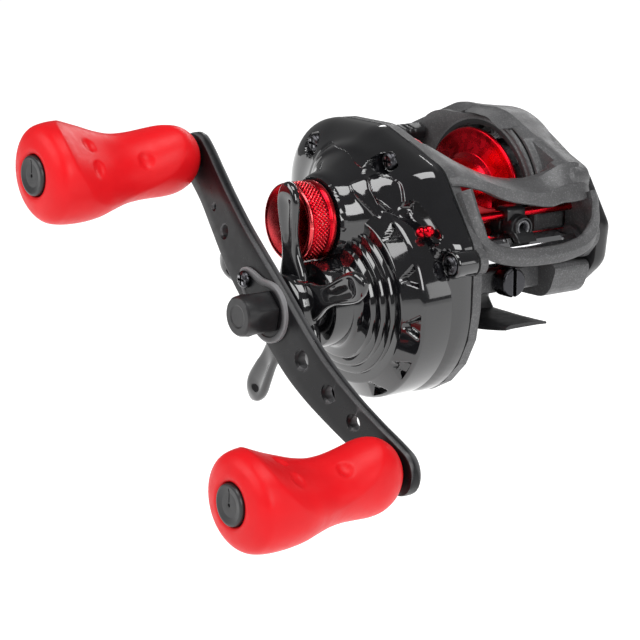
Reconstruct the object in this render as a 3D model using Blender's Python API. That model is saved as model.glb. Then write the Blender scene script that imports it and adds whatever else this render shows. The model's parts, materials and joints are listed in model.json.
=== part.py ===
"""A low-profile baitcasting reel, as the separate pieces that it comes apart into.

Lengths are in millimetres, and turn into metres as each mesh is made. X points forward along the rod,
+Y is the palm side, the handle is on -Y, and Z is up. Places are counted from the centre of the spool,
which hangs SPOOL_HEIGHT above the seat of the reel foot, where the model's origin lies. Places in the
side view are (x, z) pairs, and shapes turned about a cross axis are (radius, y) profiles.
"""
import math

import bmesh
import bpy
from mathutils import Matrix, Vector

MM = 0.001

# Driving dimensions
SPOOL_HEIGHT = 25.5
HANDLE_SPAN = 95.0  # centre to centre of the two knobs
HANDLE_ANGLE = math.radians(-37.6)  # of the lower knob seen from the handle side
CRANK = (6.0, -18.0)  # drive shaft
SPOOL = (0.0, 0.0)
WORM = (23.8, -7.3)  # level-wind worm
GAP = 0.3

# Gear trains
MAIN_TEETH = 64
PINION_TEETH = 10
MAIN_MODULE = 2 * math.dist(CRANK, SPOOL) / (MAIN_TEETH + PINION_TEETH)
WIND_MODULE = 0.6
DRIVE_TEETH = 24
IDLER_TEETH = 22
WORM_TEETH = 12

# Planes across the reel, from the handle side to the palm side
SEAM = -15.0  # gear cover meets the frame
PLATE = (-14.7, -12.3)  # handle-side plate of the frame
PALM_PLATE = (12.0, 22.5)
WIND_GEARS = (-16.6, -15.3)
MAIN_GEAR = (-20.0, -17.2)
COVER_FACE = -22.8
ARM_FACE = -53.1  # outer face of the handle arm at its centre
KNOB_INNER = -48.2
KNOB_OUTER = -90.4
KNOB_TURNS = {"upper": math.radians(45), "lower": math.radians(72)}  # where the finger panels face
STAR = (-47.7, -45.3)

# Radii
SPOOL_FLANGE = 16.7
SPOOL_ARBOR = 9.6
HOOD_RING = 20.2
PLATE_RING = 19.9
HOUSING = 23.1
GUARD_RADIUS = 3.6
SHAFT_RADIUS = 3.5
EYE = (27.0, 2.5, -2.2)  # front of the line guide, at rest
ROD = (22.5, 0.4)


# ---------------------------------------------------------------- building blocks

def clear_scene():
    for item in list(bpy.data.objects):
        bpy.data.objects.remove(item)


def empty(name, at, parent=None):
    """A datum, placed in mm from its parent."""
    item = bpy.data.objects.new(name, None)
    item.location = Vector(at) * MM
    item.parent = parent
    bpy.context.collection.objects.link(item)
    return item


def material(name, colour, roughness, metallic=0.0):
    made = bpy.data.materials.new(name)
    made.use_nodes = True
    shader = made.node_tree.nodes["Principled BSDF"]
    shader.inputs["Base Color"].default_value = (*colour, 1.0)
    shader.inputs["Roughness"].default_value = roughness
    shader.inputs["Metallic"].default_value = metallic
    return made


def place(name, bm, finish, parent, smooth=True):
    """Turns a bmesh in mm into a named object in metres under its parent."""
    bmesh.ops.scale(bm, vec=(MM, MM, MM), verts=bm.verts)
    mesh = bpy.data.meshes.new(name)
    bm.to_mesh(mesh)
    bm.free()
    if smooth:
        mesh.shade_smooth()
        mesh.set_sharp_from_angle(angle=math.radians(35))
    item = bpy.data.objects.new(name, mesh)
    item.parent = parent
    bpy.context.collection.objects.link(item)
    if finish:
        mesh.materials.append(finish)
    return item


def combine(target, operation, *meshes):
    """Adds closed bmeshes to an object, or cuts them out of it; the tools stay as hidden wires."""
    for number, bm in enumerate(meshes, 1):
        tool = place(f"{target.name}_{operation.lower()}_{number}", bm, None, target.parent, smooth=False)
        tool.hide_render = True
        tool.display_type = "WIRE"
        step = target.modifiers.new(tool.name, "BOOLEAN")
        step.operation = operation
        step.object = tool
    return target


def skin(rings, closed=False):
    """Joins rings of equal length into a closed surface: its ends are capped, or joined to each other."""
    bm = bmesh.new()
    loops = [[bm.verts.new(point) for point in ring] for ring in rings]
    pairs = list(zip(loops, loops[1:]))
    if closed:
        pairs.append((loops[-1], loops[0]))
    else:
        bm.faces.new(loops[0])
        bm.faces.new(loops[-1])
    for one, two in pairs:
        for i in range(len(one)):
            bm.faces.new((one[i - 1], one[i], two[i], two[i - 1]))
    bmesh.ops.recalc_face_normals(bm, faces=bm.faces)
    return bm


def circle(radius, count, centre=(0.0, 0.0), start=0.0):
    turn = 2 * math.pi / count
    return [
        (centre[0] + radius * math.cos(start + i * turn), centre[1] + radius * math.sin(start + i * turn))
        for i in range(count)
    ]


def standing(outline, y):
    """A side-view outline in the plane y."""
    return [(x, y, z) for x, z in outline]


def turned(profile, segments=20, centre=(0.0, 0.0)):
    """A body turned about the cross axis; a profile that starts and ends on the axis is solid."""
    solid = profile[0][0] == 0.0
    stations = profile[1:-1] if solid else profile
    rings = [standing(circle(radius, segments, centre), y) for radius, y in stations]
    return skin(rings, closed=not solid)


def tube(inner, outer, y0, y1, segments=20, centre=(0.0, 0.0)):
    return turned([(inner, y0), (outer, y0), (outer, y1), (inner, y1)], segments, centre)


def rod(radius, y0, y1, segments=16, centre=(0.0, 0.0)):
    return turned([(0.0, y0), (radius, y0), (radius, y1), (0.0, y1)], segments, centre)


def prism(outline, y0, y1):
    return skin([standing(outline, y0), standing(outline, y1)])


def block(low, high):
    (x0, y0, z0), (x1, y1, z1) = low, high
    return prism([(x0, z0), (x1, z0), (x1, z1), (x0, z1)], y0, y1)


def aimed(bm, axis, at):
    """Turns a body made about the cross axis to lie along another axis, and moves it."""
    spin = Vector((0.0, 1.0, 0.0)).rotation_difference(Vector(axis)).to_matrix().to_4x4()
    bmesh.ops.transform(bm, matrix=Matrix.Translation(at) @ spin, verts=bm.verts)
    return bm


def rounded(corners, steps=5):
    """A closed outline from (x, z, radius) corners, with an arc of equal steps at each of them."""
    outline = []
    for i, (x, z, radius) in enumerate(corners):
        here = Vector((x, z))
        back = (Vector(corners[i - 1][:2]) - here).normalized()
        ahead = (Vector(corners[(i + 1) % len(corners)][:2]) - here).normalized()
        half = back.angle(ahead) / 2
        centre = here + (back + ahead).normalized() * (radius / math.sin(half))
        reach = radius / math.tan(half)
        first = here + back * reach - centre
        sweep = -first.angle_signed(here + ahead * reach - centre)
        start = math.atan2(first.y, first.x)
        for k in range(steps + 1):
            angle = start + sweep * k / steps
            outline.append((centre.x + radius * math.cos(angle), centre.y + radius * math.sin(angle)))
    return outline


def inset(outline, distance):
    """The outline moved inwards, or outwards by a negative distance."""
    area = sum(a[0] * b[1] - b[0] * a[1] for a, b in zip(outline, outline[1:] + outline[:1]))
    side = distance if area > 0 else -distance
    moved = []
    for i, (x, z) in enumerate(outline):
        one = Vector(outline[i]) - Vector(outline[i - 1])
        two = Vector(outline[(i + 1) % len(outline)]) - Vector(outline[i])
        normal = (Vector((-one.y, one.x)).normalized() + Vector((-two.y, two.x)).normalized()).normalized()
        moved.append((x + normal.x * side, z + normal.y * side))
    return moved


def gear(name, finish, parent, teeth, module, y0, y1, bore, phase=0.0):
    """A spur gear with slim teeth, so that a meshing pair keeps clear; phase is the first tooth's angle."""
    pitch = 2 * math.pi / teeth
    radius = module * teeth / 2
    shape = [(-0.27, -1.1), (-0.15, 0.8), (0.15, 0.8), (0.27, -1.1)]  # in pitches and modules
    outline = []
    for tooth in range(teeth):
        for along, out in shape:
            angle = phase + (tooth + along) * pitch
            reach = radius + out * module
            outline.append((reach * math.cos(angle), reach * math.sin(angle)))
    wheel = place(name, prism(outline, y0, y1), finish, parent)
    return combine(wheel, "DIFFERENCE", rod(bore, y0 - 1.0, y1 + 1.0, 16))


def meshing_phase(centre_a, teeth_a, phase_a, centre_b, teeth_b):
    """The first tooth's angle on gear b that puts a gap of b on each tooth of a."""
    line = math.atan2(centre_b[1] - centre_a[1], centre_b[0] - centre_a[0])
    tooth_a = (line - phase_a) * teeth_a / (2 * math.pi)
    return line + math.pi - (0.5 - tooth_a) * 2 * math.pi / teeth_b


def crossing(centre_a, reach_a, centre_b, reach_b):
    """The upper of the two points at given distances from two centres."""
    span = math.dist(centre_a, centre_b)
    along = (reach_a ** 2 - reach_b ** 2 + span ** 2) / (2 * span)
    off = math.sqrt(reach_a ** 2 - along ** 2)
    ux, uz = (centre_b[0] - centre_a[0]) / span, (centre_b[1] - centre_a[1]) / span
    return centre_a[0] + along * ux - off * uz, centre_a[1] + along * uz + off * ux


# ---------------------------------------------------------------- outlines of the body

def cover_outline():
    """Side view of the gear cover: a low tail, the top, the sloping front and the round gear housing."""
    x, z = CRANK
    return rounded([
        (-31.3, 19.4, 16.0),
        (-1.0, 19.4, 12.0),
        (19.5, 12.0, 6.0),
        (30.4, -4.0, 5.0),
        (x + HOUSING, z - HOUSING, HOUSING),
        (x - HOUSING, z - HOUSING, HOUSING),
        (x - HOUSING, -9.5, 4.0),
        (-32.5, -8.0, 5.0),
    ])


def palm_plate_outline():
    """Side view of the frame's palm side: round about the spool, with a tail and a front lower shell."""
    return rounded([
        (-30.8, 7.6, 5.0),
        (-17.5, 19.0, 12.0),
        (PLATE_RING, 19.4, 19.0),
        (PLATE_RING, -11.5, 0.6),
        (28.0, -12.0, 1.5),
        (25.0, -20.0, 5.0),
        (-22.0, -20.5, 12.0),
        (-31.0, -6.0, 5.0),
    ])


def hood_outline():
    """Side view of the hood's palm-side shoulder, down to its nose."""
    return rounded([
        (-33.0, 3.0, 2.0),
        (-32.5, 12.6, 6.0),
        (-12.0, 21.8, 14.0),
        (5.0, 21.6, 12.0),
        (30.2, 9.8, 3.5),
        (28.8, 3.2, 1.0),
        (12.0, 3.2, 2.0),
    ])


def palm_cover_outline():
    return rounded([
        (-31.5, 9.0, 7.0),
        (-16.0, 17.6, 12.0),
        (5.0, 17.6, 10.0),
        (22.5, 7.6, 7.0),
        (29.8, -3.5, 6.0),
        (28.5, -13.0, 6.0),
        (20.0, -20.2, 9.0),
        (-22.0, -20.5, 12.0),
        (-32.0, -6.0, 6.0),
    ])


def sill_front(y):
    """How far forward the sill under the level-wind window comes at y."""
    return 32.6 - 0.004 * (y - 8.0) ** 2


# ---------------------------------------------------------------- fixed pieces

COVER_SCREWS = ((9.6, 13.2), (-18.3, 13.7))
COVER_SCREW_SEAT = -21.7
LUG = (29.4, -7.6)
YOKE_POSTS = ((7.5, 1.2), (-7.5, 1.2))
RELEASE = (26.2, 1.0, -14.9)  # front of the coin-slot screw


def build_frame(finish, root, idler):
    """Side plates joined by the rear bar, the belly under the spool and the front sill."""
    frame = place("frame", prism(cover_outline(), *PLATE), finish, root)
    y0, y1 = PLATE[0] + 0.7, PALM_PLATE[0] + 0.5
    belly = rounded([
        (-15.5, -9.0, 0.4), (-17.5, -10.5, 0.4), (-12.0, -19.4, 6.0), (12.0, -19.4, 4.0),
        (19.5, -18.2, 1.0), (21.6, -17.5, 0.6), (21.6, -12.6, 0.6), (17.6, -12.6, 0.6),
        (11.5, -17.4, 5.0), (-10.5, -17.6, 5.0),
    ], steps=3)
    combine(
        frame, "UNION",
        prism(palm_plate_outline(), *PALM_PLATE),
        prism(belly, y0, y1),
        block((-30.8, y0, -5.0), (-27.6, y1, 4.0)),
        rod(3.2, PLATE[0] + 0.1, PLATE[1] - 0.1, centre=LUG),
    )
    holes = [
        rod(SPOOL_FLANGE + 0.6, 11.0, 23.5, 28),
        rod(4.0, -16.0, -11.0),
        rod(4.3, -16.0, -11.0, centre=CRANK),
        rod(3.3, -16.0, -11.0, centre=WORM),
        rod(1.9, -16.0, -11.0, 10, centre=idler),
        rod(1.3, -13.6, -11.0, 10, centre=ROD),
        rod(1.2, -16.0, -11.0, 10, centre=LUG),
        block((-24.0, -16.0, 1.0), (-19.9, -11.0, 11.4)),
        aimed(rod(1.8, 17.0, 23.0, 10), (1, 0, 0), (0.0, RELEASE[1], RELEASE[2])),
    ]
    holes += [rod(1.2, -16.0, -11.0, 10, centre=at) for at in COVER_SCREWS]
    holes += [rod(1.15, -16.0, -11.0, 10, centre=at) for at in YOKE_POSTS]
    holes += [aimed(rod(1.5, -21.5, -16.0, 10), (0, 0, 1), (x, 0.0, 0.0)) for x in FOOT_SCREWS]
    return combine(frame, "DIFFERENCE", *holes)


FOOT_SCREWS = (-9.0, 9.0)
FOOT_STATIONS = (  # x, half width, underside and top above the seat
    (-31.0, 4.2, 1.3, 2.3), (-24.0, 6.2, 0.2, 2.2), (-17.0, 7.0, 0.0, 2.4),
    (17.0, 7.0, 0.0, 2.4), (25.0, 6.6, 0.4, 2.3), (31.5, 6.3, 1.5, 2.4),
)


def build_foot(finish, screw_finish, root):
    rings = []
    for x, half, low, high in FOOT_STATIONS:
        low, high = low - SPOOL_HEIGHT, high - SPOOL_HEIGHT
        rings.append([(x, -half, low), (x, half, low), (x, half * 0.8, high), (x, -half * 0.8, high)])
    foot = place("reel_foot", skin(rings), finish, root)
    saddle_top = -19.4 - GAP
    combine(foot, "UNION", block((-13.5, -5.5, 1.0 - SPOOL_HEIGHT), (13.5, 5.5, saddle_top)))
    bores = []
    for x in FOOT_SCREWS:
        head = [(0.0, -26.5), (2.6, -26.5), (2.6, -23.6), (1.5, -22.4), (1.5, -18.0), (0.0, -18.0)]
        bores.append(aimed(turned(head, 12), (0, 0, 1), (x, 0.0, 0.0)))
    combine(foot, "DIFFERENCE", *bores)
    for name, x in zip(("foot_screw_rear", "foot_screw_front"), FOOT_SCREWS):
        shape = [(0.0, -25.2), (2.2, -25.2), (2.2, -23.9), (1.2, -22.6), (1.2, -17.9), (0.0, -17.9)]
        place(name, aimed(turned(shape, 12), (0, 0, 1), (x, 0.0, 0.0)), screw_finish, root)


def build_gear_cover(finish, root):
    outline = cover_outline()
    shell = skin([
        standing(outline, SEAM),
        standing(inset(outline, 0.3), -18.0),
        standing(inset(outline, 1.2), -20.5),
        standing(inset(outline, 3.0), -22.3),
        standing(inset(outline, 4.2), COVER_FACE),
    ])
    cover = place("gear_cover", shell, finish, root)
    housing = [
        (0.0, -21.0), (22.6, -21.0), (22.9, -27.4), (19.0, -31.0), (16.5, -32.0), (14.6, -33.2),
        (12.7, -34.5), (12.2, -35.6), (9.7, -36.3), (9.7, -41.6), (9.2, -42.0), (0.0, -42.0),
    ]
    spool_boss = [
        (0.0, -20.7), (17.0, -20.7), (16.6, -23.0), (15.3, -24.9), (13.0, -27.4), (10.5, -31.0),
        (9.6, -34.0), (9.6, -36.2), (6.5, -36.2), (6.5, -39.4), (0.0, -39.4),
    ]
    combine(
        cover, "UNION",
        turned(housing, 40, CRANK),
        turned(spool_boss, 24),
        rod(3.2, -20.0, SEAM + 0.1, centre=LUG),
    )
    clutch_room = [(0.0, -20.0), (12.4, -20.0), (12.4, -25.3), (0.0, -25.3)]
    shaft_bore = [
        (0.0, -20.0), (19.2, -20.0), (19.2, -28.0), (8.0, -31.5), (8.0, -41.0), (5.7, -41.0),
        (5.7, -43.0), (0.0, -43.0),
    ]
    spool_bore = [
        (0.0, -20.0), (7.0, -20.0), (4.8, -28.0), (4.8, -37.0), (2.1, -37.0), (2.1, -41.0), (0.0, -41.0),
    ]
    cuts = [
        prism(inset(outline, 1.9), -18.0, -13.0), prism(inset(outline, 3.4), -20.9, -17.0),
        turned(clutch_room, 24), turned(shaft_bore, 24, CRANK), turned(spool_bore, 16),
    ]
    for at in COVER_SCREWS:
        cuts += [rod(1.2, -24.0, -14.0, 10, at), rod(2.6, -29.0, COVER_SCREW_SEAT, 20, at)]
    cuts += [rod(1.2, -21.0, -14.0, 10, centre=LUG), rod(2.8, -29.0, -20.1, 20, centre=LUG)]
    return combine(cover, "DIFFERENCE", *cuts)


def screw_profile(head_y, head, depth, shank, tip_y):
    return [(0.0, head_y), (head - 0.4, head_y), (head, head_y + 0.4), (head, head_y + depth),
            (shank, head_y + depth), (shank, tip_y), (0.0, tip_y)]


def build_cover_screws(finish, root):
    for name, at in zip(("cover_screw_front", "cover_screw_rear"), COVER_SCREWS):
        profile = screw_profile(COVER_SCREW_SEAT - GAP - 1.3, 2.2, 1.3, 0.9, -13.0)
        place(name, turned(profile, 12, at), finish, root)
    place("cover_screw_lug", turned(screw_profile(-21.7, 2.4, 1.4, 0.9, -12.5), 12, LUG), finish, root)


def build_hood(finish, root):
    """The top cover: a deck before the spool, and a shoulder about the spool's palm end."""
    stations = (  # y, thickness, then (x, z) of the rear edge, the front lip's crease and the lip's foot
        (-12.0, 1.0, (9.5, 15.6), (21.4, 10.3), (22.7, 8.1)),
        (-10.0, 1.0, (11.4, 14.1), (22.4, 9.9), (23.6, 7.6)),
        (-7.0, 1.6, (13.1, 12.3), (23.9, 9.2), (25.1, 6.7)),
        (-3.0, 2.0, (15.1, 10.0), (25.7, 8.0), (27.0, 5.5)),
        (2.0, 2.0, (17.1, 8.2), (27.9, 6.9), (29.2, 4.3)),
        (8.0, 2.0, (17.9, 7.3), (29.7, 6.1), (31.0, 3.3)),
        (14.0, 2.0, (18.1, 7.1), (29.9, 6.0), (31.2, 3.0)),
        (19.5, 2.0, (18.1, 7.1), (28.4, 6.0), (29.8, 3.0)),
    )
    rings = []
    for y, thickness, rear, crease, lip in stations:
        under = [(lip[0] - 2.0, lip[1]), (crease[0] - 2.0, crease[1] - 2.0), (rear[0], rear[1] - thickness)]
        rings.append(standing([rear, crease, lip, *under], y))
    hood = place("hood", skin(rings), finish, root)
    combine(hood, "UNION", prism(hood_outline(), 12.8, PALM_PLATE[1]))
    cuts = (
        rod(HOOD_RING, 12.0, 24.0, 40),
        prism(inset(palm_plate_outline(), -GAP), 11.0, 24.0),
    )
    return combine(hood, "DIFFERENCE", *cuts)


def build_front_guard(finish, root):
    """The sill under the level-wind window, with the post that carries the palm end of the worm."""
    rings = []
    for y in (-12.0, -5.0, 1.0, 7.0, 14.0, 20.4):
        front = sill_front(y)
        rings.append([
            (front - 3.3, y, -11.0), (front - 1.4, y, -10.8), (front, y, -8.6), (front - 0.9, y, -6.4),
            (front - 2.4, y, -6.8), (front - 3.3, y, -8.4),
        ])
    guard = place("front_guard", skin(rings), finish, root)
    post = rounded([
        (20.5, 2.6, 1.0), (30.6, 2.6, 2.0), (32.2, -8.0, 3.0), (28.5, -11.4, 2.0), (20.5, -11.2, 0.5),
    ], steps=3)
    combine(guard, "UNION", prism(post, 20.2, PALM_PLATE[1]))
    cuts = (rod(3.0, 19.0, 24.0, centre=WORM), rod(1.3, 19.0, 21.8, 10, centre=ROD))
    return combine(guard, "DIFFERENCE", *cuts)


def build_palm_cover(finish, root):
    outline = palm_cover_outline()
    base = PALM_PLATE[1] + GAP
    shell = skin([
        standing(outline, base),
        standing(inset(outline, 0.3), 25.0),
        standing(inset(outline, 1.8), 27.6),
        standing(inset(outline, 3.8), 29.0),
    ])
    cover = place("palm_cover", shell, finish, root)
    cuts = (
        prism(inset(outline, 2.4), base - 1.0, 26.8),
        rod(2.4, 25.0, 31.0, 10),
    )
    combine(cover, "DIFFERENCE", *cuts)
    boss = turned([(4.4, 22.2), (6.4, 22.2), (6.4, 27.2), (4.4, 27.2)], 20)
    return combine(cover, "UNION", boss)


def build_palm_parts(finishes, root):
    spigot = [(13.2, 20.0), (16.9, 20.0), (16.9, 22.3), (13.2, 22.3)]
    place("brake_ring", turned(spigot, 28), finishes["steel"], root)
    place("spool_bearing_palm", tube(1.9, 4.1, 22.4, 25.4, 16), finishes["steel"], root)
    dial = [(0.0, 29.3), (7.0, 29.3), (7.6, 29.8), (7.6, 30.6), (6.8, 31.3), (0.0, 31.3)]
    knob = place("brake_dial", turned(dial, 20), finishes["black"], root)
    combine(knob, "UNION", rod(2.0, 26.0, 30.0, 10))
    combine(knob, "DIFFERENCE", block((-5.0, 30.7, -0.6), (5.0, 32.0, 0.6)))


def build_release_screw(finish, axis):
    """The coin-slot screw that lets the palm side off; it lies along X under the sill."""
    shape = [(0.0, -8.0), (1.5, -8.0), (1.5, -4.1), (3.4, -4.1), (3.4, -0.4), (3.0, 0.0), (0.0, 0.0)]
    screw = place("release_screw", aimed(turned(shape, 20), (1, 0, 0), (0, 0, 0)), finish, axis)
    return combine(screw, "DIFFERENCE", block((-1.4, -0.5, -4.0), (1.0, 0.5, 4.0)))


def build_level_wind_fixed(finishes, root, idler):
    inner, outer = GUARD_RADIUS - 0.8, GUARD_RADIUS
    guard = tube(inner, outer, PLATE[1] + GAP, 19.9, 20, WORM)
    shield = place("worm_guard", guard, finishes["chrome"], root)
    x, z = WORM
    combine(shield, "DIFFERENCE", block((x - 5.0, -10.8, z - 1.2), (x - 1.0, 18.6, z + 1.2)))
    place("guide_rod", rod(1.0, -13.2, 21.4, 12, ROD), finishes["red"], root)
    place("worm_bush_handle", tube(1.5, 3.0, -14.6, -12.4, 16, WORM), finishes["steel"], root)
    place("worm_bush_palm", tube(1.5, 2.7, 20.3, 22.3, 16, WORM), finishes["steel"], root)
    stud = [(0.0, -17.0), (2.4, -17.0), (2.4, -16.75), (1.6, -16.75), (1.6, -12.4), (0.0, -12.4)]
    place("idler_stud", turned(stud, 12, idler), finishes["steel"], root)


def build_clutch_fixed(finishes, root):
    for side, at in zip(("front", "rear"), YOKE_POSTS):
        place(f"yoke_post_{side}", rod(0.85, -25.1, -12.5, 10, at), finishes["steel"], root)
        place(f"yoke_spring_{side}", coil(at, 1.55, 0.22, -24.8, -23.3, 2), finishes["steel"], root)


def coil(centre, radius, wire, y0, y1, turns, steps=8, sides=4):
    """A short helical spring about the cross axis."""
    rings = []
    count = turns * steps
    for i in range(count + 1):
        angle = 2 * math.pi * i / steps
        y = y0 + (y1 - y0) * i / count
        ring = []
        for k in range(sides):
            roll = 2 * math.pi * k / sides
            reach = radius + wire * math.cos(roll)
            ring.append((centre[0] + reach * math.cos(angle), y + wire * math.sin(roll),
                         centre[1] + reach * math.sin(angle)))
        rings.append(ring)
    return skin(rings)


# ---------------------------------------------------------------- moving pieces

def build_spool(finishes, axis):
    rim = SPOOL_FLANGE
    profile = [
        (2.0, -11.0), (rim - 1.4, -11.0), (rim, -10.6), (rim, -9.9), (rim - 1.6, -9.7),
        (SPOOL_ARBOR + 0.8, -8.8), (SPOOL_ARBOR, -7.0), (SPOOL_ARBOR, 7.0), (SPOOL_ARBOR + 0.8, 8.8),
        (rim - 1.6, 9.7), (rim, 9.9), (rim, 10.6), (rim - 1.4, 11.0), (2.0, 11.0),
    ]
    place("spool", turned(profile, 28), finishes["red"], axis)
    shaft = [
        (0.0, -36.0), (1.2, -36.0), (1.4, -35.6), (1.4, -15.2), (1.7, -15.2), (1.7, 24.9), (0.0, 24.9),
    ]
    place("spool_shaft", turned(shaft, 12), finishes["steel"], axis)
    rotor = [(2.0, 12.0), (12.0, 12.0), (12.0, 19.0), (10.6, 19.0), (10.6, 13.4), (2.0, 13.4)]
    place("brake_rotor", turned(rotor, 24), finishes["aluminium"], axis)


def build_handle_side_bearings(finishes, root):
    place("spool_bearing_handle", tube(1.7, 4.5, -34.0, -31.5, 16), finishes["steel"], root)
    place("shaft_bearing", tube(2.8, 4.0, -14.6, -12.4, 16, CRANK), finishes["steel"], root)
    place("one_way_bearing", tube(5.5, 7.7, -40.6, -34.0, 20, CRANK), finishes["steel"], root)


def build_tension_knob(finish, axis):
    """A knurled cup that screws over the end of the cover's spool boss."""
    segments = 32
    rim = []
    for i in range(segments):
        radius = 9.0 if i % 2 else 8.75
        angle = 2 * math.pi * i / segments
        rim.append((radius * math.cos(angle), radius * math.sin(angle)))
    smooth_rim = circle(9.0, segments)
    rings = [
        standing(circle(6.9, segments), -36.6), standing(smooth_rim, -36.6), standing(smooth_rim, -38.2),
        standing(rim, -38.4), standing(rim, -42.6), standing(smooth_rim, -42.8),
        standing(circle(8.6, segments), -43.6), standing(circle(5.0, segments), -44.4),
        standing(circle(0.5, segments), -44.6), standing(circle(0.5, segments), -40.0),
        standing(circle(6.9, segments), -40.0),
    ]
    return place("tension_knob", skin(rings, closed=True), finish, axis)


def build_drive(finishes, axis):
    shaft = [
        (0.0, -59.5), (2.4, -59.5), (2.4, -53.2), (3.0, -53.0), (3.0, -47.0), (SHAFT_RADIUS, -46.6),
        (SHAFT_RADIUS, -15.1), (2.5, -15.0), (2.5, -12.0), (0.0, -12.0),
    ]
    place("drive_shaft", turned(shaft, 16), finishes["steel"], axis)
    bore = SHAFT_RADIUS + GAP
    gear("main_gear", finishes["brass"], axis, MAIN_TEETH, MAIN_MODULE, *MAIN_GEAR, bore)
    gear("level_wind_drive_gear", finishes["nylon"], axis, DRIVE_TEETH, WIND_MODULE, *WIND_GEARS, bore)
    place("drag_washer", tube(bore, 12.5, -21.2, -20.3, 20), finishes["carbon"], axis)
    place("drag_plate", tube(bore, 12.0, -22.3, -21.5, 20), finishes["steel"], axis)
    place("pressure_plate", tube(bore, 11.4, -23.6, -22.6, 20), finishes["steel"], axis)
    place("one_way_sleeve", tube(bore, 5.2, -43.8, -23.9, 16), finishes["steel"], axis)


def build_star_drag(finish, axis):
    """Five arms with waists and round ends about a threaded hub."""
    half_arm = [(7.2, 4.4), (15.0, 2.5), (23.5, 3.3), (28.3, 1.4)]
    arm = half_arm + [(u, -v) for u, v in reversed(half_arm)]
    arms = 5
    outline = []
    for number in range(arms):
        angle = math.radians(93) + 2 * math.pi * number / arms
        cos, sin = math.cos(angle), math.sin(angle)
        outline += [(u * cos + v * sin, u * sin - v * cos) for u, v in arm]
    outer, inner = STAR
    star = place("star_drag", skin([
        standing(inset(outline, 0.7), outer), standing(outline, outer + 0.7),
        standing(outline, inner - 0.5), standing(inset(outline, 0.5), inner),
    ]), finish, axis)
    hub = [(0.0, -50.0), (6.4, -50.0), (7.4, -49.0), (7.4, -44.2), (0.0, -44.2)]
    combine(star, "UNION", turned(hub, 20))
    return combine(star, "DIFFERENCE", rod(SHAFT_RADIUS + GAP, -52.0, -43.0, 16))


ARM_HOLES = (  # place along the arm from the crank, radius
    (-HANDLE_SPAN / 2, 2.3), (HANDLE_SPAN / 2, 2.3),
    (-32.0, 0.6), (-24.5, 1.45), (14.6, 1.9), (24.8, 1.75),
    (33.4, 1.6),
)


def arm_face(s):
    """The arm's outer face at s along it: level at the centre and swept towards the reel at the tips."""
    drop = max(0.0, (abs(s) - 14.0) / (HANDLE_SPAN / 2 - 14.0))
    return ARM_FACE + 5.9 * min(drop, 1.0) ** 0.9


def build_handle(finishes, axis):
    half_span = HANDLE_SPAN / 2
    tip = 5.6
    stations = [
        -half_span - tip + 0.2, -half_span - 4.6, -half_span - 2.6, -half_span, -40, -32, -22, -14, -6,
        6, 14, 22, 32, 40, half_span, half_span + 2.6, half_span + 4.6, half_span + tip - 0.2,
    ]
    along = (math.cos(HANDLE_ANGLE), math.sin(HANDLE_ANGLE))
    rings = []
    for s in stations:
        beyond = abs(s) - half_span
        if beyond > 0:
            half_width = math.sqrt(tip ** 2 - beyond ** 2)
        else:
            half_width = tip + 1.5 * math.cos(math.pi * s / HANDLE_SPAN) ** 1.5
        offset = -1.05 * math.sin(2 * math.pi * s / HANDLE_SPAN)
        face, thickness, bevel = arm_face(s), 2.5, 0.5
        half_bevelled = max(half_width - bevel, 0.4)
        section = (
            (half_bevelled, face), (half_width, face + bevel), (half_width, face + thickness),
            (-half_width, face + thickness), (-half_width, face + bevel), (-half_bevelled, face),
        )
        ring = []
        for across, y in section:
            v = offset + across
            ring.append((s * along[0] - v * along[1], y, s * along[1] + v * along[0]))
        rings.append(ring)
    arm = place("handle_arm", skin(rings), finishes["satin"], axis)
    cuts = [rod(3.3, -56.0, -48.0, 16)]
    for s, radius in ARM_HOLES:
        at = (s * along[0], s * along[1])
        cuts.append(rod(radius, -57.0, -42.0, 12, at))
    screw_at = (-10.0 * along[0], -10.0 * along[1])
    cuts.append(rod(1.0, -57.0, -48.0, 10, screw_at))
    combine(arm, "DIFFERENCE", *cuts)

    plate = []
    lobe_angle = math.atan2(screw_at[1], screw_at[0])
    for i in range(40):
        angle = 2 * math.pi * i / 40
        away = math.remainder(angle - lobe_angle, 2 * math.pi)
        reach = 6.9 + 5.8 * math.exp(-(away / 0.42) ** 2)
        plate.append((reach * math.cos(angle), reach * math.sin(angle)))
    retainer = place("nut_retainer", prism(plate, ARM_FACE - 0.9, ARM_FACE - 0.2), finishes["satin"], axis)
    combine(retainer, "DIFFERENCE", rod(5.5, -56, -52, 16), rod(1.0, -56, -52, 10, screw_at))
    screw = screw_profile(ARM_FACE - 2.2, 1.9, 1.1, 0.75, -51.2)
    place("retainer_screw", turned(screw, 12, screw_at), finishes["steel_dark"], axis)

    nut = [
        standing(circle(2.7, 18), -53.4), standing(hexagon(5.0), -53.4), standing(hexagon(5.0), -58.6),
        standing(circle(4.5, 18), -60.4), standing(circle(4.3, 18), -61.8), standing(circle(3.9, 18), -62.0),
        standing(circle(0.4, 18), -62.0), standing(circle(0.4, 18), -60.0), standing(circle(2.7, 18), -60.0),
    ]
    place("handle_nut", skin(nut, closed=True), finishes["black"], axis)


def hexagon(radius, count=18):
    """A hexagon with points at even angles, so that it joins to circles."""
    points = []
    for i in range(count):
        angle = 2 * math.pi * i / count
        corner = math.remainder(angle, math.pi / 3)
        reach = radius * math.cos(math.pi / 6) / math.cos(math.pi / 6 - abs(corner))
        points.append((reach * math.cos(angle), reach * math.sin(angle)))
    return points


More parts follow.
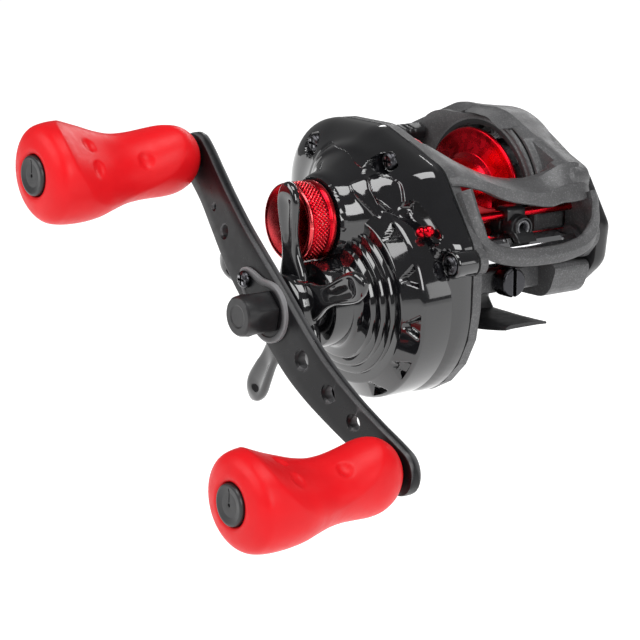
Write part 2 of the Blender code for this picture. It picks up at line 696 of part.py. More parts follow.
def build_knob(side, finishes, crank_axis, axis, centre):
    """A paddle knob with a lobe, a waist and a scooped finger panel, its cap, and the post it spins on."""
    stations = (  # y, half width across the finger panel and along it, depth of the panel's scoop
        (KNOB_INNER, 4.4, 4.2, 0.0), (-49.2, 5.7, 5.0, 0.0), (-50.6, 7.2, 6.2, 0.0),
        (-53.0, 8.6, 7.2, 0.0), (-56.0, 9.0, 7.7, 0.3), (-60.0, 8.8, 7.9, 1.4),
        (-64.0, 8.6, 8.2, 2.6), (-68.0, 8.9, 8.8, 3.4), (-72.0, 9.6, 10.0, 3.6),
        (-76.0, 10.4, 11.4, 3.3), (-79.5, 11.0, 12.3, 2.4), (-83.0, 11.3, 12.4, 1.0),
        (-86.2, 11.1, 12.0, 0.0), (-88.4, 10.1, 10.9, 0.0), (-89.8, 8.4, 8.8, 0.0),
        (KNOB_OUTER, 6.4, 6.4, 0.0),
    )
    count = 24
    turn = KNOB_TURNS[side]
    rings = []
    for y, across, along, scoop in stations:
        ring = []
        for i in range(count):
            angle = 2 * math.pi * i / count
            reach = across * along / math.hypot(along * math.cos(angle), across * math.sin(angle))
            reach -= scoop * max(0.0, math.cos(angle)) ** 2
            ring.append((reach * math.cos(angle + turn), y, reach * math.sin(angle + turn)))
        rings.append(ring)
    for radius, y in ((4.9, KNOB_OUTER), (4.9, -88.4), (2.4, -88.4), (2.4, KNOB_INNER)):
        rings.append(standing(circle(radius, count, start=turn), y))
    place(f"knob_grip_{side}", skin(rings, closed=True), finishes["rubber"], axis)
    cap = [(0.0, -91.2), (3.9, -91.2), (4.6, -90.6), (4.6, -88.9), (0.0, -88.9)]
    made = place(f"knob_cap_{side}", turned(cap, 16), finishes["black"], axis)
    combine(made, "DIFFERENCE", block((-1.4, -92.0, -0.4), (1.4, -90.7, 0.4)))
    x, z = centre
    post = [
        (0.0, -87.6), (1.9, -87.6), (1.9, -44.7), (1.9, -44.2), (3.6, -44.2), (3.0, -43.2), (0.0, -43.2),
    ]
    place(f"knob_post_{side}", turned(post, 12, (x, z)), finishes["steel_dark"], crank_axis)


def build_pinion(finish, axis, phase):
    pinion = gear("pinion", finish, axis, PINION_TEETH, MAIN_MODULE, -20.6, -16.9, 1.7, phase)
    neck = turned([(1.7, -20.9), (1.7, -23.2), (3.0, -23.2), (3.0, -22.5), (2.1, -22.5), (2.1, -20.9),
                   (2.3, -20.5), (1.7, -20.5)], 24)
    return combine(pinion, "UNION", neck)


def build_clutch(finishes, root):
    outline = rounded([(-9.6, -1.6, 1.5), (-9.6, 3.8, 1.5), (9.6, 3.8, 1.5), (9.6, -1.6, 1.5)], steps=3)
    yoke = place("clutch_yoke", prism(outline, -22.3, -21.1), finishes["nylon"], root)
    cuts = [rod(2.35, -24.0, -20.0, 16)]
    cuts += [rod(1.15, -24.0, -20.0, 10, at) for at in YOKE_POSTS]
    combine(yoke, "DIFFERENCE", *cuts)

    bar = rounded([
        (-27.4, 6.6, 1.0), (-27.4, 12.0, 2.0), (-23.0, 15.2, 3.0), (-18.6, 14.0, 1.0), (-19.4, 11.6, 1.0),
        (-22.8, 8.6, 2.0),
    ], steps=4)
    place("thumb_bar", prism(bar, -11.8, 11.6), finishes["black"], root)
    cam = rounded([
        (-24.6, 5.2, 0.8), (-24.6, 9.8, 0.8), (-11.0, 9.8, 1.5), (-10.4, 5.6, 1.0), (-18.0, 4.4, 2.0),
    ], steps=3)
    lever = place("clutch_cam", prism(cam, -16.2, -15.0), finishes["steel"], root)
    return combine(lever, "UNION", block((-23.4, -15.6, 6.4), (-20.6, -12.1, 9.4)))


def build_level_wind_moving(finishes, worm_axis, carriage_axis, phase):
    shaft = [(0.0, -17.0), (1.2, -17.0), (1.2, -12.0), (2.4, -11.6), (2.4, 19.4), (1.2, 19.6),
             (1.2, 22.4), (0.0, 22.4)]
    place("worm_shaft", turned(shaft, 12), finishes["steel"], worm_axis)
    gear("worm_gear", finishes["nylon"], worm_axis, WORM_TEETH, WIND_MODULE, *WIND_GEARS, 1.5, phase)

    eye_x, eye_y, eye_z = EYE
    x, z = WORM
    collar = [(GUARD_RADIUS + 0.3, -3.0), (GUARD_RADIUS + 1.7, -3.0), (GUARD_RADIUS + 1.7, 3.0),
              (GUARD_RADIUS + 0.3, 3.0)]
    carriage = place("line_guide_carriage", turned(collar, 20, (x, z)), finishes["nylon"], carriage_axis)
    barrel = [(0.0, -9.4), (2.5, -9.4), (2.9, -8.9), (2.9, -0.8), (2.4, 0.0), (0.0, 0.0)]
    combine(
        carriage, "UNION",
        aimed(turned(barrel, 16), (1, 0, 0), (eye_x, 0.0, eye_z)),
        block((ROD[0] - 2.2, -2.6, -3.0), (ROD[0] + 2.2, 2.6, ROD[1] + 2.0)),
    )
    cuts = (
        rod(GUARD_RADIUS + 0.3, -4.0, 4.0, 20, (x, z)),
        rod(1.25, -4.0, 4.0, 10, ROD),
        aimed(rod(1.3, -12.0, 1.0, 10), (1, 0, 0), (eye_x, 0.0, eye_z)),
        aimed(rod(2.0, -1.6, 1.0, 16), (1, 0, 0), (eye_x, 0.0, eye_z)),
        aimed(rod(1.2, 3.0, 8.0, 10), (-1, 0, 0), (x, 0.0, z)),
        block((x - 8.0, -4.0, -14.0), (x + 8.0, 4.0, -9.7)),
        block((x + 1.0, -4.0, -14.0), (x + 8.0, 4.0, -5.3)),
    )
    combine(carriage, "DIFFERENCE", *cuts)
    ring = [(1.1, -1.5), (1.85, -1.5), (1.85, 0.0), (1.5, 0.3), (1.1, 0.0)]
    place("guide_ring", aimed(turned(ring, 16), (1, 0, 0), (eye_x, 0.0, eye_z)), finishes["ceramic"],
          carriage_axis)
    pawl = [(0.0, 2.7), (0.7, 2.7), (0.9, 3.4), (0.9, 5.2), (0.0, 5.2)]
    place("pawl", aimed(turned(pawl, 10), (-1, 0, 0), (x, 0.0, z)), finishes["brass"], carriage_axis)
    cap = [(0.0, 5.8), (1.9, 5.8), (1.9, 7.0), (1.5, 7.3), (0.0, 7.3)]
    place("pawl_cap", aimed(turned(cap, 10), (-1, 0, 0), (x, 0.0, z)), finishes["black"], carriage_axis)


# ---------------------------------------------------------------- assembly

def build():
    clear_scene()
    finishes = {
        "grey": material("matte_grey", (0.045, 0.046, 0.048), 0.5, 0.3),
        "gloss": material("gloss_black", (0.006, 0.006, 0.007), 0.08),
        "black": material("black", (0.01, 0.01, 0.011), 0.35),
        "satin": material("satin_black", (0.012, 0.012, 0.013), 0.35, 0.5),
        "red": material("red_anodised", (0.55, 0.005, 0.012), 0.3, 1.0),
        "rubber": material("red_rubber", (0.85, 0.02, 0.02), 0.5),
        "steel": material("steel", (0.55, 0.55, 0.56), 0.3, 1.0),
        "steel_dark": material("black_steel", (0.05, 0.05, 0.055), 0.3, 1.0),
        "chrome": material("chrome", (0.8, 0.8, 0.82), 0.08, 1.0),
        "aluminium": material("aluminium", (0.7, 0.7, 0.72), 0.35, 1.0),
        "brass": material("brass", (0.7, 0.5, 0.2), 0.35, 1.0),
        "carbon": material("carbon", (0.02, 0.02, 0.022), 0.55),
        "nylon": material("black_nylon", (0.015, 0.015, 0.016), 0.4),
        "ceramic": material("ceramic", (0.03, 0.03, 0.035), 0.1),
    }
    root = empty("spool_centre", (0.0, 0.0, SPOOL_HEIGHT))
    crank = empty("crank_axis", (CRANK[0], 0.0, CRANK[1]), root)
    idler_at = crossing(
        CRANK, WIND_MODULE * (DRIVE_TEETH + IDLER_TEETH) / 2,
        WORM, WIND_MODULE * (WORM_TEETH + IDLER_TEETH) / 2,
    )
    idler = empty("idler_axis", (idler_at[0], 0.0, idler_at[1]), root)
    worm = empty("worm_axis", (WORM[0], 0.0, WORM[1]), root)
    carriage = empty("carriage_axis", (0.0, EYE[1], 0.0), root)
    release = empty("release_axis", RELEASE, root)

    build_frame(finishes["grey"], root, idler_at)
    build_foot(finishes["black"], finishes["steel_dark"], root)
    build_gear_cover(finishes["gloss"], root)
    build_cover_screws(finishes["steel_dark"], root)
    build_hood(finishes["grey"], root)
    build_front_guard(finishes["grey"], root)
    build_palm_cover(finishes["black"], root)
    build_palm_parts(finishes, root)
    build_release_screw(finishes["steel_dark"], release)
    build_level_wind_fixed(finishes, root, idler_at)
    build_clutch_fixed(finishes, root)
    build_handle_side_bearings(finishes, root)

    build_spool(finishes, root)
    build_tension_knob(finishes["red"], root)
    build_drive(finishes, crank)
    build_star_drag(finishes["gloss"], crank)
    build_handle(finishes, crank)
    reach = HANDLE_SPAN / 2
    for side, sign in (("upper", -1), ("lower", 1)):
        centre = (sign * reach * math.cos(HANDLE_ANGLE), sign * reach * math.sin(HANDLE_ANGLE))
        knob = empty(f"knob_axis_{side}", (centre[0], 0.0, centre[1]), crank)
        build_knob(side, finishes, crank, knob, centre)

    pinion_phase = meshing_phase(CRANK, MAIN_TEETH, 0.0, SPOOL, PINION_TEETH)
    build_pinion(finishes["brass"], root, pinion_phase)
    build_clutch(finishes, root)
    idler_phase = meshing_phase(CRANK, DRIVE_TEETH, 0.0, idler_at, IDLER_TEETH)
    worm_phase = meshing_phase(idler_at, IDLER_TEETH, idler_phase, WORM, WORM_TEETH)
    gear("idler_gear", finishes["nylon"], idler, IDLER_TEETH, WIND_MODULE, *WIND_GEARS, 1.9, idler_phase)
    build_level_wind_moving(finishes, worm, carriage, worm_phase)


build()
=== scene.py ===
"""The looks of a low-profile baitcasting reel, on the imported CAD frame.

Shapes are written in millimetres from the spool's centre: X forward along the rod, +Y the palm side, Z up.
build() turns them into metres in the CAD's own frame. Side-view points are (x, z) pairs, and bodies turned
about a cross axis are (radius, y) profiles.
"""
import json
import math

import bmesh
import bpy
from mathutils import Matrix, Vector


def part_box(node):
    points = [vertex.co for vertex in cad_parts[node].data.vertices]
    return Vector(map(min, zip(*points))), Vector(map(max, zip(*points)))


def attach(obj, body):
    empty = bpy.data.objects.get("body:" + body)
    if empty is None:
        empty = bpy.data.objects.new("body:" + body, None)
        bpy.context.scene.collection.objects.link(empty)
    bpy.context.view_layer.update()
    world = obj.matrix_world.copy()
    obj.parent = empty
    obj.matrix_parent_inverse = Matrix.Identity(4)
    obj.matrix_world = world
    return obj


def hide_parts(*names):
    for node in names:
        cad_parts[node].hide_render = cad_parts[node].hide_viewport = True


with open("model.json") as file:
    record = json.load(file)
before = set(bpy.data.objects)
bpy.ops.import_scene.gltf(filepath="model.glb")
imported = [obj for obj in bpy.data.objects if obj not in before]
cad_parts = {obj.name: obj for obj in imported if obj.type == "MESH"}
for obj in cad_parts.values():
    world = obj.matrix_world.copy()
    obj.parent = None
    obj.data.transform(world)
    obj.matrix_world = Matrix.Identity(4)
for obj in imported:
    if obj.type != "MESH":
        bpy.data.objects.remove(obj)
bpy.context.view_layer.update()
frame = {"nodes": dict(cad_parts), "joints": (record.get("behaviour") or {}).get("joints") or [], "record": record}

JOINTS = {joint["name"]: joint for joint in frame["joints"]}
SPOOL_CENTRE = Vector(JOINTS["spool_spin"]["pos_m"])
BODY = "reel_body"
AXIS = (0.0, 0.0)  # the spool's own axis in the side view


def from_spool(point):
    """A point of the CAD's frame in metres, in mm from the spool's centre."""
    return (Vector(point) - SPOOL_CENTRE) * 1000.0


def span(node):
    """The low and high corners of a CAD node's box, in mm from the spool's centre."""
    low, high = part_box(node)
    return from_spool(low), from_spool(high)


def middle(node):
    low, high = span(node)
    return (low + high) / 2


def side(vector):
    """The side-view point of a place."""
    return (vector.x, vector.z)


CRANK = side(from_spool(JOINTS["crank_spin"]["pos_m"]))
KNOBS = {name: side(from_spool(JOINTS[f"{name}_knob_spin"]["pos_m"])) for name in ("upper", "lower")}
HANDLE_ANGLE = math.atan2(KNOBS["lower"][1] - CRANK[1], KNOBS["lower"][0] - CRANK[0])
HALF_SPAN = math.dist(KNOBS["lower"], CRANK)
WORM = side(from_spool(JOINTS["worm_spin"]["pos_m"]))
LUG = side(middle("cover_screw_lug"))


# --- shape helpers

def blend_between(x, low, high):
    """0 below low, 1 above high, and a smooth step in between."""
    t = min(max((x - low) / (high - low), 0.0), 1.0)
    return t * t * (3 - 2 * t)


def curve_through(points, x):
    """A smooth curve through (x, value) points, read at x; it is level past its ends."""
    if x <= points[0][0]:
        return points[0][1]
    if x >= points[-1][0]:
        return points[-1][1]
    i = max(k for k in range(len(points) - 1) if points[k][0] <= x)
    x0, y0 = points[i]
    x1, y1 = points[i + 1]

    def slope(k):
        before, after = points[max(k - 1, 0)], points[min(k + 1, len(points) - 1)]
        return (after[1] - before[1]) / (after[0] - before[0])

    width = x1 - x0
    t = (x - x0) / width
    h00, h10 = (1 + 2 * t) * (1 - t) ** 2, t * (1 - t) ** 2
    h01, h11 = t * t * (3 - 2 * t), t * t * (t - 1)
    return h00 * y0 + h10 * width * slope(i) + h01 * y1 + h11 * width * slope(i + 1)


def read_table(rows, at):
    """The other columns of a table whose first column is a distance, read at that distance."""
    return [curve_through([(row[0], row[j]) for row in rows], at) for j in range(1, len(rows[0]))]


def skin(rings, closed=False, caps=True):
    """Joins rings of equal length; its ends are capped, or joined to each other."""
    bm = bmesh.new()
    loops = [[bm.verts.new(point) for point in ring] for ring in rings]
    pairs = list(zip(loops, loops[1:]))
    if closed:
        pairs.append((loops[-1], loops[0]))
    elif caps:
        bm.faces.new(loops[0])
        bm.faces.new(loops[-1])
    for one, two in pairs:
        for i in range(len(one)):
            bm.faces.new((one[i - 1], one[i], two[i], two[i - 1]))
    bmesh.ops.recalc_face_normals(bm, faces=bm.faces)
    return bm


def angles(count, start=0.0):
    return [start + math.tau * i / count for i in range(count)]


def about(centre, radius, angle, y):
    """The point at a distance and an angle from a cross axis."""
    return (centre[0] + radius * math.cos(angle), y, centre[1] + radius * math.sin(angle))


def discs(stations, count, centre=AXIS, start=0.0):
    """The rings of a turned body, from (radius, y) stations."""
    return [[about(centre, radius, angle, y) for angle in angles(count, start)] for radius, y in stations]


def standing(outline, y):
    """A side-view outline as a ring at one place across the reel."""
    return [(x, y, z) for x, z in outline]


def softened(profile, size=0.25, steps=3):
    """A profile with each inner corner replaced by a small arc of its own."""
    points = [profile[0]]
    for before, here, after in zip(profile, profile[1:], profile[2:]):
        a, b, c = Vector(before), Vector(here), Vector(after)
        reach = min(size, (a - b).length * 0.45, (c - b).length * 0.45)
        first = b + (a - b).normalized() * reach
        last = b + (c - b).normalized() * reach
        for k in range(steps + 1):
            t = k / steps
            point = first * (1 - t) ** 2 + b * 2 * t * (1 - t) + last * t * t
            points.append((point.x, point.y))
    points.append(profile[-1])
    return points


def turned(profile, segments=96, centre=AXIS, soft=0.25):
    """A body turned about the cross axis; a profile that starts and ends on the axis is solid."""
    solid = profile[0][0] == 0.0
    if soft:
        profile = softened(profile if solid else profile + profile[:1], soft)
        if not solid:
            profile = profile[:-1]
    stations = profile[1:-1] if solid else profile
    return skin(discs(stations, segments, centre), closed=not solid)


def aimed(bm, axis, at):
    """Turns a body made about the cross axis to lie along another axis, and moves it."""
    spin = Vector((0.0, 1.0, 0.0)).rotation_difference(Vector(axis)).to_matrix().to_4x4()
    bmesh.ops.transform(bm, matrix=Matrix.Translation(at) @ spin, verts=bm.verts)
    return bm


def block(low, high):
    (x0, y0, z0), (x1, y1, z1) = low, high
    outline = [(x0, z0), (x1, z0), (x1, z1), (x0, z1)]
    return skin([standing(outline, y0), standing(outline, y1)])


def rounded(corners, steps=8):
    """A closed outline from (x, z, radius) corners, with an arc at each of them."""
    outline = []
    for i, (x, z, radius) in enumerate(corners):
        here = Vector((x, z))
        back = (Vector(corners[i - 1][:2]) - here).normalized()
        ahead = (Vector(corners[(i + 1) % len(corners)][:2]) - here).normalized()
        half = back.angle(ahead) / 2
        centre = here + (back + ahead).normalized() * (radius / math.sin(half))
        reach = radius / math.tan(half)
        first = here + back * reach - centre
        sweep = -first.angle_signed(here + ahead * reach - centre)
        start = math.atan2(first.y, first.x)
        for k in range(steps + 1):
            angle = start + sweep * k / steps
            outline.append((centre.x + radius * math.cos(angle), centre.y + radius * math.sin(angle)))
    return outline


def evened(outline, count):
    """A closed outline resampled to equal steps."""
    points = [Vector(p) for p in outline] + [Vector(outline[0])]
    lengths = [0.0]
    for a, b in zip(points, points[1:]):
        lengths.append(lengths[-1] + (b - a).length)
    result, k = [], 0
    for i in range(count):
        target = lengths[-1] * i / count
        while lengths[k + 1] < target:
            k += 1
        t = (target - lengths[k]) / max(lengths[k + 1] - lengths[k], 1e-9)
        result.append(points[k].lerp(points[k + 1], t))
    return result


def inset(outline, distance):
    """A closed outline moved inwards by a distance."""
    points = [Vector(p) for p in outline]
    area = sum(a.x * b.y - b.x * a.y for a, b in zip(points, points[1:] + points[:1]))
    offset = distance if area > 0 else -distance
    moved = []
    for i, here in enumerate(points):
        along = points[(i + 1) % len(points)] - points[i - 1]
        normal = Vector((-along.y, along.x)).normalized()
        moved.append(here + normal * offset)
    return moved


def swept(path, section, up):
    """A section of (out, up) points carried along a path; out is to the right of the way along."""
    rings = []
    for i, at in enumerate(path):
        ahead = (Vector(path[min(i + 1, len(path) - 1)]) - Vector(path[max(i - 1, 0)])).normalized()
        out = ahead.cross(Vector(up)).normalized()
        over = out.cross(ahead).normalized()
        rings.append([Vector(at) + out * u + over * v for u, v in section])
    return skin(rings)


def spline(points, per_span):
    """A smooth open curve through 3-D points."""
    points = [Vector(p) for p in points]
    ends = [2 * points[0] - points[1]] + points + [2 * points[-1] - points[-2]]
    result = []
    for a, b, c, d in zip(ends, ends[1:], ends[2:], ends[3:]):
        for k in range(per_span):
            t = k / per_span
            result.append(0.5 * ((2 * b) + (c - a) * t + (2 * a - 5 * b + 4 * c - d) * t * t
                                 + (3 * b - a - 3 * c + d) * t ** 3))
    result.append(points[-1])
    return result


# --- objects

def soften(item, width, segments, degrees):
    """Rounds an object's edges by a width in mm."""
    step = item.modifiers.new("edges", "BEVEL")
    step.width = width * 0.001
    step.segments = segments
    step.limit_method = "ANGLE"
    step.angle_limit = math.radians(degrees)


def placed(name, data):
    """A new object in the scene."""
    item = bpy.data.objects.new(name, data)
    bpy.context.scene.collection.objects.link(item)
    return item


def build(name, bm, body, slot, replaces=(), angle=35.0, bevel=0.0, finish=None):
    """Turns a bmesh in mm into a piece that rides on a CAD body, in its slot's finish or another."""
    to_metres = Matrix.Translation(SPOOL_CENTRE) @ Matrix.Scale(0.001, 4)
    bmesh.ops.transform(bm, matrix=to_metres, verts=bm.verts)
    mesh = bpy.data.meshes.new(name)
    bm.to_mesh(mesh)
    bm.free()
    mesh.shade_smooth()
    mesh.set_sharp_from_angle(angle=math.radians(angle))
    mesh.materials.append(finish or SLOT_FINISHES[slot])
    item = placed(name, mesh)
    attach(item, body)
    if replaces:
        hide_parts(*replaces)
    if bevel:
        soften(item, bevel, 2, 30)


def cut(bm, *tools):
    """Cuts closed bmeshes out of another, and returns the result."""
    temporary = []

    def hold(part):
        mesh = bpy.data.meshes.new("temporary")
        part.to_mesh(mesh)
        part.free()
        temporary.append(placed("temporary", mesh))
        return temporary[-1]

    target = hold(bm)
    for tool in tools:
        step = target.modifiers.new("cut", "BOOLEAN")
        step.operation = "DIFFERENCE"
        step.object = hold(tool)
    bpy.context.view_layer.update()
    evaluated = target.evaluated_get(bpy.context.evaluated_depsgraph_get())
    result = bmesh.new()
    result.from_mesh(evaluated.to_mesh())
    for item in temporary:
        bpy.data.objects.remove(item)
    return result


def merged(*parts):
    """Several bodies as one mesh."""
    whole = bmesh.new()
    for part in parts:
        mesh = bpy.data.meshes.new("temporary")
        part.to_mesh(mesh)
        part.free()
        whole.from_mesh(mesh)
        bpy.data.meshes.remove(mesh)
    return whole


def phillips(centre, head_y, radius, tip_y):
    """A pan-head screw with a cross recess, along the cross axis and facing the handle."""
    x, z = centre
    depth = 1.2
    head = turned([
        (0.0, head_y + 0.1), (radius * 0.55, head_y), (radius * 0.86, head_y + 0.3), (radius, head_y + 0.8),
        (radius, head_y + depth), (radius * 0.5, head_y + depth), (radius * 0.5, tip_y), (0.0, tip_y),
    ], 48, centre, soft=0.15)
    arm, half = radius * 0.62, radius * 0.15
    return cut(
        head,
        block((x - arm, head_y - 1.0, z - half), (x + arm, head_y + 0.75, z + half)),
        block((x - half, head_y - 1.0, z - arm), (x + half, head_y + 0.75, z + arm)),
    )


# --- materials

def set_inputs(node, values):
    for socket, value in values.items():
        node.inputs[socket].default_value = value


def finish(name, colour, roughness, metallic=0.0, tone=0.12, patch=90.0, spread=0.06, grain=2500.0,
           depth=0.004, coat=0.0, specular=0.5, edge=None, pattern=None):
    """A procedural finish: mottled colour, uneven roughness, and a grain or a tool pattern in the bump.

    patch and grain are noise scales per metre, and depth is the bump's height in mm. spread is how far the
    roughness strays. edge is a lighter colour painted along sharp edges: a painted highlight there, partly also
    rubbed wear.
    """
    made = bpy.data.materials.new(name)
    made.use_nodes = True
    nodes, links = made.node_tree.nodes, made.node_tree.links
    shader = nodes["Principled BSDF"]
    set_inputs(shader, {
        "Metallic": metallic, "Specular IOR Level": specular, "Coat Weight": coat, "Coat Roughness": 0.04,
    })
    place = nodes.new("ShaderNodeTexCoord")

    def texture(kind, **values):
        node = nodes.new(f"ShaderNodeTex{kind}")
        set_inputs(node, values)
        links.new(place.outputs["Object"], node.inputs["Vector"])
        return node

    def noise(scale, detail):
        return texture("Noise", Scale=scale, Detail=detail).outputs["Fac"]

    def ranged(value, low, high, from_low=0.3, from_high=0.7):
        node = nodes.new("ShaderNodeMapRange")
        set_inputs(node, {"From Min": from_low, "From Max": from_high, "To Min": low, "To Max": high})
        links.new(value, node.inputs["Value"])
        return node.outputs["Result"]

    def mixed(factor, a, b):
        node = nodes.new("ShaderNodeMix")
        node.data_type = "RGBA"
        links.new(factor, node.inputs[0])
        for socket, value in ((node.inputs[6], a), (node.inputs[7], b)):  # the node's colour sockets
            if isinstance(value, tuple):
                socket.default_value = (*value, 1.0)
            else:
                links.new(value, socket)
        return node.outputs[2]

    dark = tuple(c * (1 - tone) for c in colour)
    light = tuple(min(1.0, c * (1 + tone)) for c in colour)
    tint = mixed(ranged(noise(patch, 3.0), 0.0, 1.0), dark, light)
    height = noise(grain, 2.0)
    if pattern == "turned":
        wave = texture("Wave", Scale=900.0, Distortion=0.6)
        wave.wave_type = "RINGS"
        wave.rings_direction = "Y"
        height = wave.outputs["Fac"]
    elif pattern == "weave":
        height = texture("Checker", Scale=900.0).outputs["Fac"]
        tint = mixed(height, dark, light)
    elif pattern == "speckle":
        cells = texture("Voronoi", Scale=grain)
        flake = ranged(cells.outputs["Color"], 0.0, 1.0, 0.62, 0.95)
        tint = mixed(flake, tint, tuple(min(1.0, c * 1.9) for c in colour))
        height = cells.outputs["Distance"]
    # painted highlight: sharp edges, where Pointiness is high, take the lighter edge colour; partly also edge wear
    if edge:
        shape = nodes.new("ShaderNodeNewGeometry")
        edge_highlight_and_wear = ranged(shape.outputs["Pointiness"], 0.0, 1.0, 0.53, 0.6)
        tint = mixed(edge_highlight_and_wear, tint, edge)
    links.new(tint, shader.inputs["Base Color"])
    rough = ranged(noise(patch * 6, 4.0), max(roughness - spread, 0.02), roughness + spread)
    links.new(rough, shader.inputs["Roughness"])
    bump = nodes.new("ShaderNodeBump")
    set_inputs(bump, {"Strength": 1.0, "Distance": depth * 0.001})
    links.new(height, bump.inputs["Height"])
    links.new(bump.outputs["Normal"], shader.inputs["Normal"])
    return made


RUBBER = finish("soft_red_rubber", (0.66, 0.006, 0.010), 0.4, tone=0.05, grain=5200, depth=0.01,
                specular=0.2)
GLOSS = finish("gloss_black_lacquer", (0.005, 0.005, 0.006), 0.09, grain=420, depth=0.008, spread=0.03,
               coat=1.0, tone=0.3)
GREY = finish("textured_grey_paint", (0.075, 0.075, 0.077), 0.44, metallic=0.2, grain=4200, depth=0.02,
              pattern="speckle")
# SATIN's edge colour is a painted highlight along the arm's bevels
SATIN = finish("satin_black_anodising", (0.006, 0.006, 0.007), 0.32, specular=0.25, grain=6000,
               depth=0.003, edge=(0.32, 0.32, 0.33))
PLASTIC = finish("moulded_black_plastic", (0.010, 0.010, 0.011), 0.36, grain=3800, depth=0.008)
# RED's pinkish edge colour is a painted highlight along sharp edges
RED = finish("red_anodised_aluminium", (0.62, 0.006, 0.016), 0.26, metallic=1.0, tone=0.08, depth=0.004,
             pattern="turned", edge=(0.95, 0.25, 0.25))
# a darker copy of the red anodising: painted shade for the bracket deep in the level-wind window
SHADED_RED = finish("shaded_red_anodised_plate", (0.36, 0.003, 0.008), 0.45, metallic=0.5, depth=0.004)
STEEL = finish("turned_steel", (0.56, 0.56, 0.57), 0.28, metallic=1.0, tone=0.06, depth=0.003,
               pattern="turned")
# DARK_STEEL's edge colour is a painted highlight along sharp edges, partly also wear
DARK_STEEL = finish("black_oxide_steel", (0.055, 0.055, 0.06), 0.28, metallic=1.0, grain=5000, depth=0.004,
                    edge=(0.4, 0.4, 0.42))
CHROME = finish("bright_chrome", (0.78, 0.78, 0.80), 0.07, metallic=1.0, tone=0.04, depth=0.001,
                spread=0.03)
ALUMINIUM = finish("bare_aluminium", (0.70, 0.70, 0.72), 0.32, metallic=1.0, tone=0.05, depth=0.004,
                   pattern="turned")
BRASS = finish("machined_brass", (0.68, 0.47, 0.18), 0.3, metallic=1.0, tone=0.08, depth=0.004,
               pattern="turned")
CARBON = finish("woven_carbon", (0.03, 0.03, 0.033), 0.4, tone=0.5, depth=0.01, pattern="weave")
NYLON = finish("black_nylon", (0.014, 0.014, 0.015), 0.33, grain=3000, depth=0.006)
CERAMIC = finish("polished_ceramic", (0.09, 0.09, 0.10), 0.12, tone=0.1, depth=0.001, coat=0.6)
# painted shade: a darker copy of the black plastic for the recess about the spool
RECESS_SHADE = finish("recess_painted_shade", (0.006, 0.006, 0.007), 0.5, grain=3000, depth=0.01)

SLOT_FINISHES = {
    "matte_grey": GREY, "gloss_black": GLOSS, "black": PLASTIC, "satin_black": SATIN, "red_anodised": RED,
    "red_rubber": RUBBER, "steel": STEEL, "black_steel": DARK_STEEL, "chrome": CHROME,
    "aluminium": ALUMINIUM, "brass": BRASS, "carbon": CARBON, "black_nylon": NYLON, "ceramic": CERAMIC,
}


def finish_cad_nodes():
    """Gives every CAD node its slot's finish."""
    for entry in frame["record"]["subparts"]:
        item = frame["nodes"][entry["node"]]
        item.data.materials.clear()
        item.data.materials.append(SLOT_FINISHES[entry["material_slot"]])


# --- knobs

LOBE = (  # y, half width across the finger panel, half width along it
    (-90.4, 6.4, 6.4), (-89.8, 8.4, 8.8), (-88.4, 10.1, 10.9), (-86.2, 10.9, 11.65), (-83.0, 11.05, 11.95),
    (-79.5, 10.8, 11.85), (-76.0, 10.35, 11.3), (-72.0, 9.6, 10.0), (-68.0, 8.9, 8.8), (-64.0, 8.6, 8.2),
    (-60.0, 8.8, 7.9), (-56.0, 9.0, 7.7), (-53.0, 8.6, 7.2), (-50.6, 7.2, 6.2), (-49.2, 5.7, 5.0),
    (-48.4, 4.2, 4.0),
)
PANEL = (-70.5, 16.0, math.radians(90))  # middle, half length and half angle of the finger panel
PANEL_DEPTH = 3.9
DIMPLES = ((-78.4, -36.0), (-64.2, -29.0), (-78.4, 12.0))  # y and degrees from the panel's middle
DIMPLE_RADIUS, DIMPLE_DEPTH = 1.75, 0.75
CAP_SEAT = ((4.75, -88.9), (4.75, -89.9), (4.95, -90.3), (5.6, -90.5))
POST_BORE = ((3.4, -48.2), (2.5, -48.3), (2.5, -50.0))
KNOB_TURNS = {"upper": 45.0, "lower": 72.0}  # where each knob's panel faces, in degrees from +X


def knob_radius(y, angle):
    """The grip's radius at y, at an angle from the middle of its panel."""
    across, along = read_table(LOBE, y)
    radius = across * along / math.hypot(along * math.cos(angle), across * math.sin(angle))
    middle_y, half_length, half_angle = PANEL
    s = math.hypot((y - middle_y) / half_length, angle / half_angle)
    if s < 1.0:
        lean = 1.0 - 0.35 * (y - middle_y) / half_length
        radius -= PANEL_DEPTH * lean * (1 - s * s) ** 1.15
    for dimple_y, degrees in DIMPLES:
        arc = math.remainder(angle - math.radians(degrees), math.tau) * radius
        r = math.hypot(y - dimple_y, arc * 0.85) / DIMPLE_RADIUS
        if r < 1.0:
            radius -= DIMPLE_DEPTH * (1 - r * r) ** 0.7
    return radius


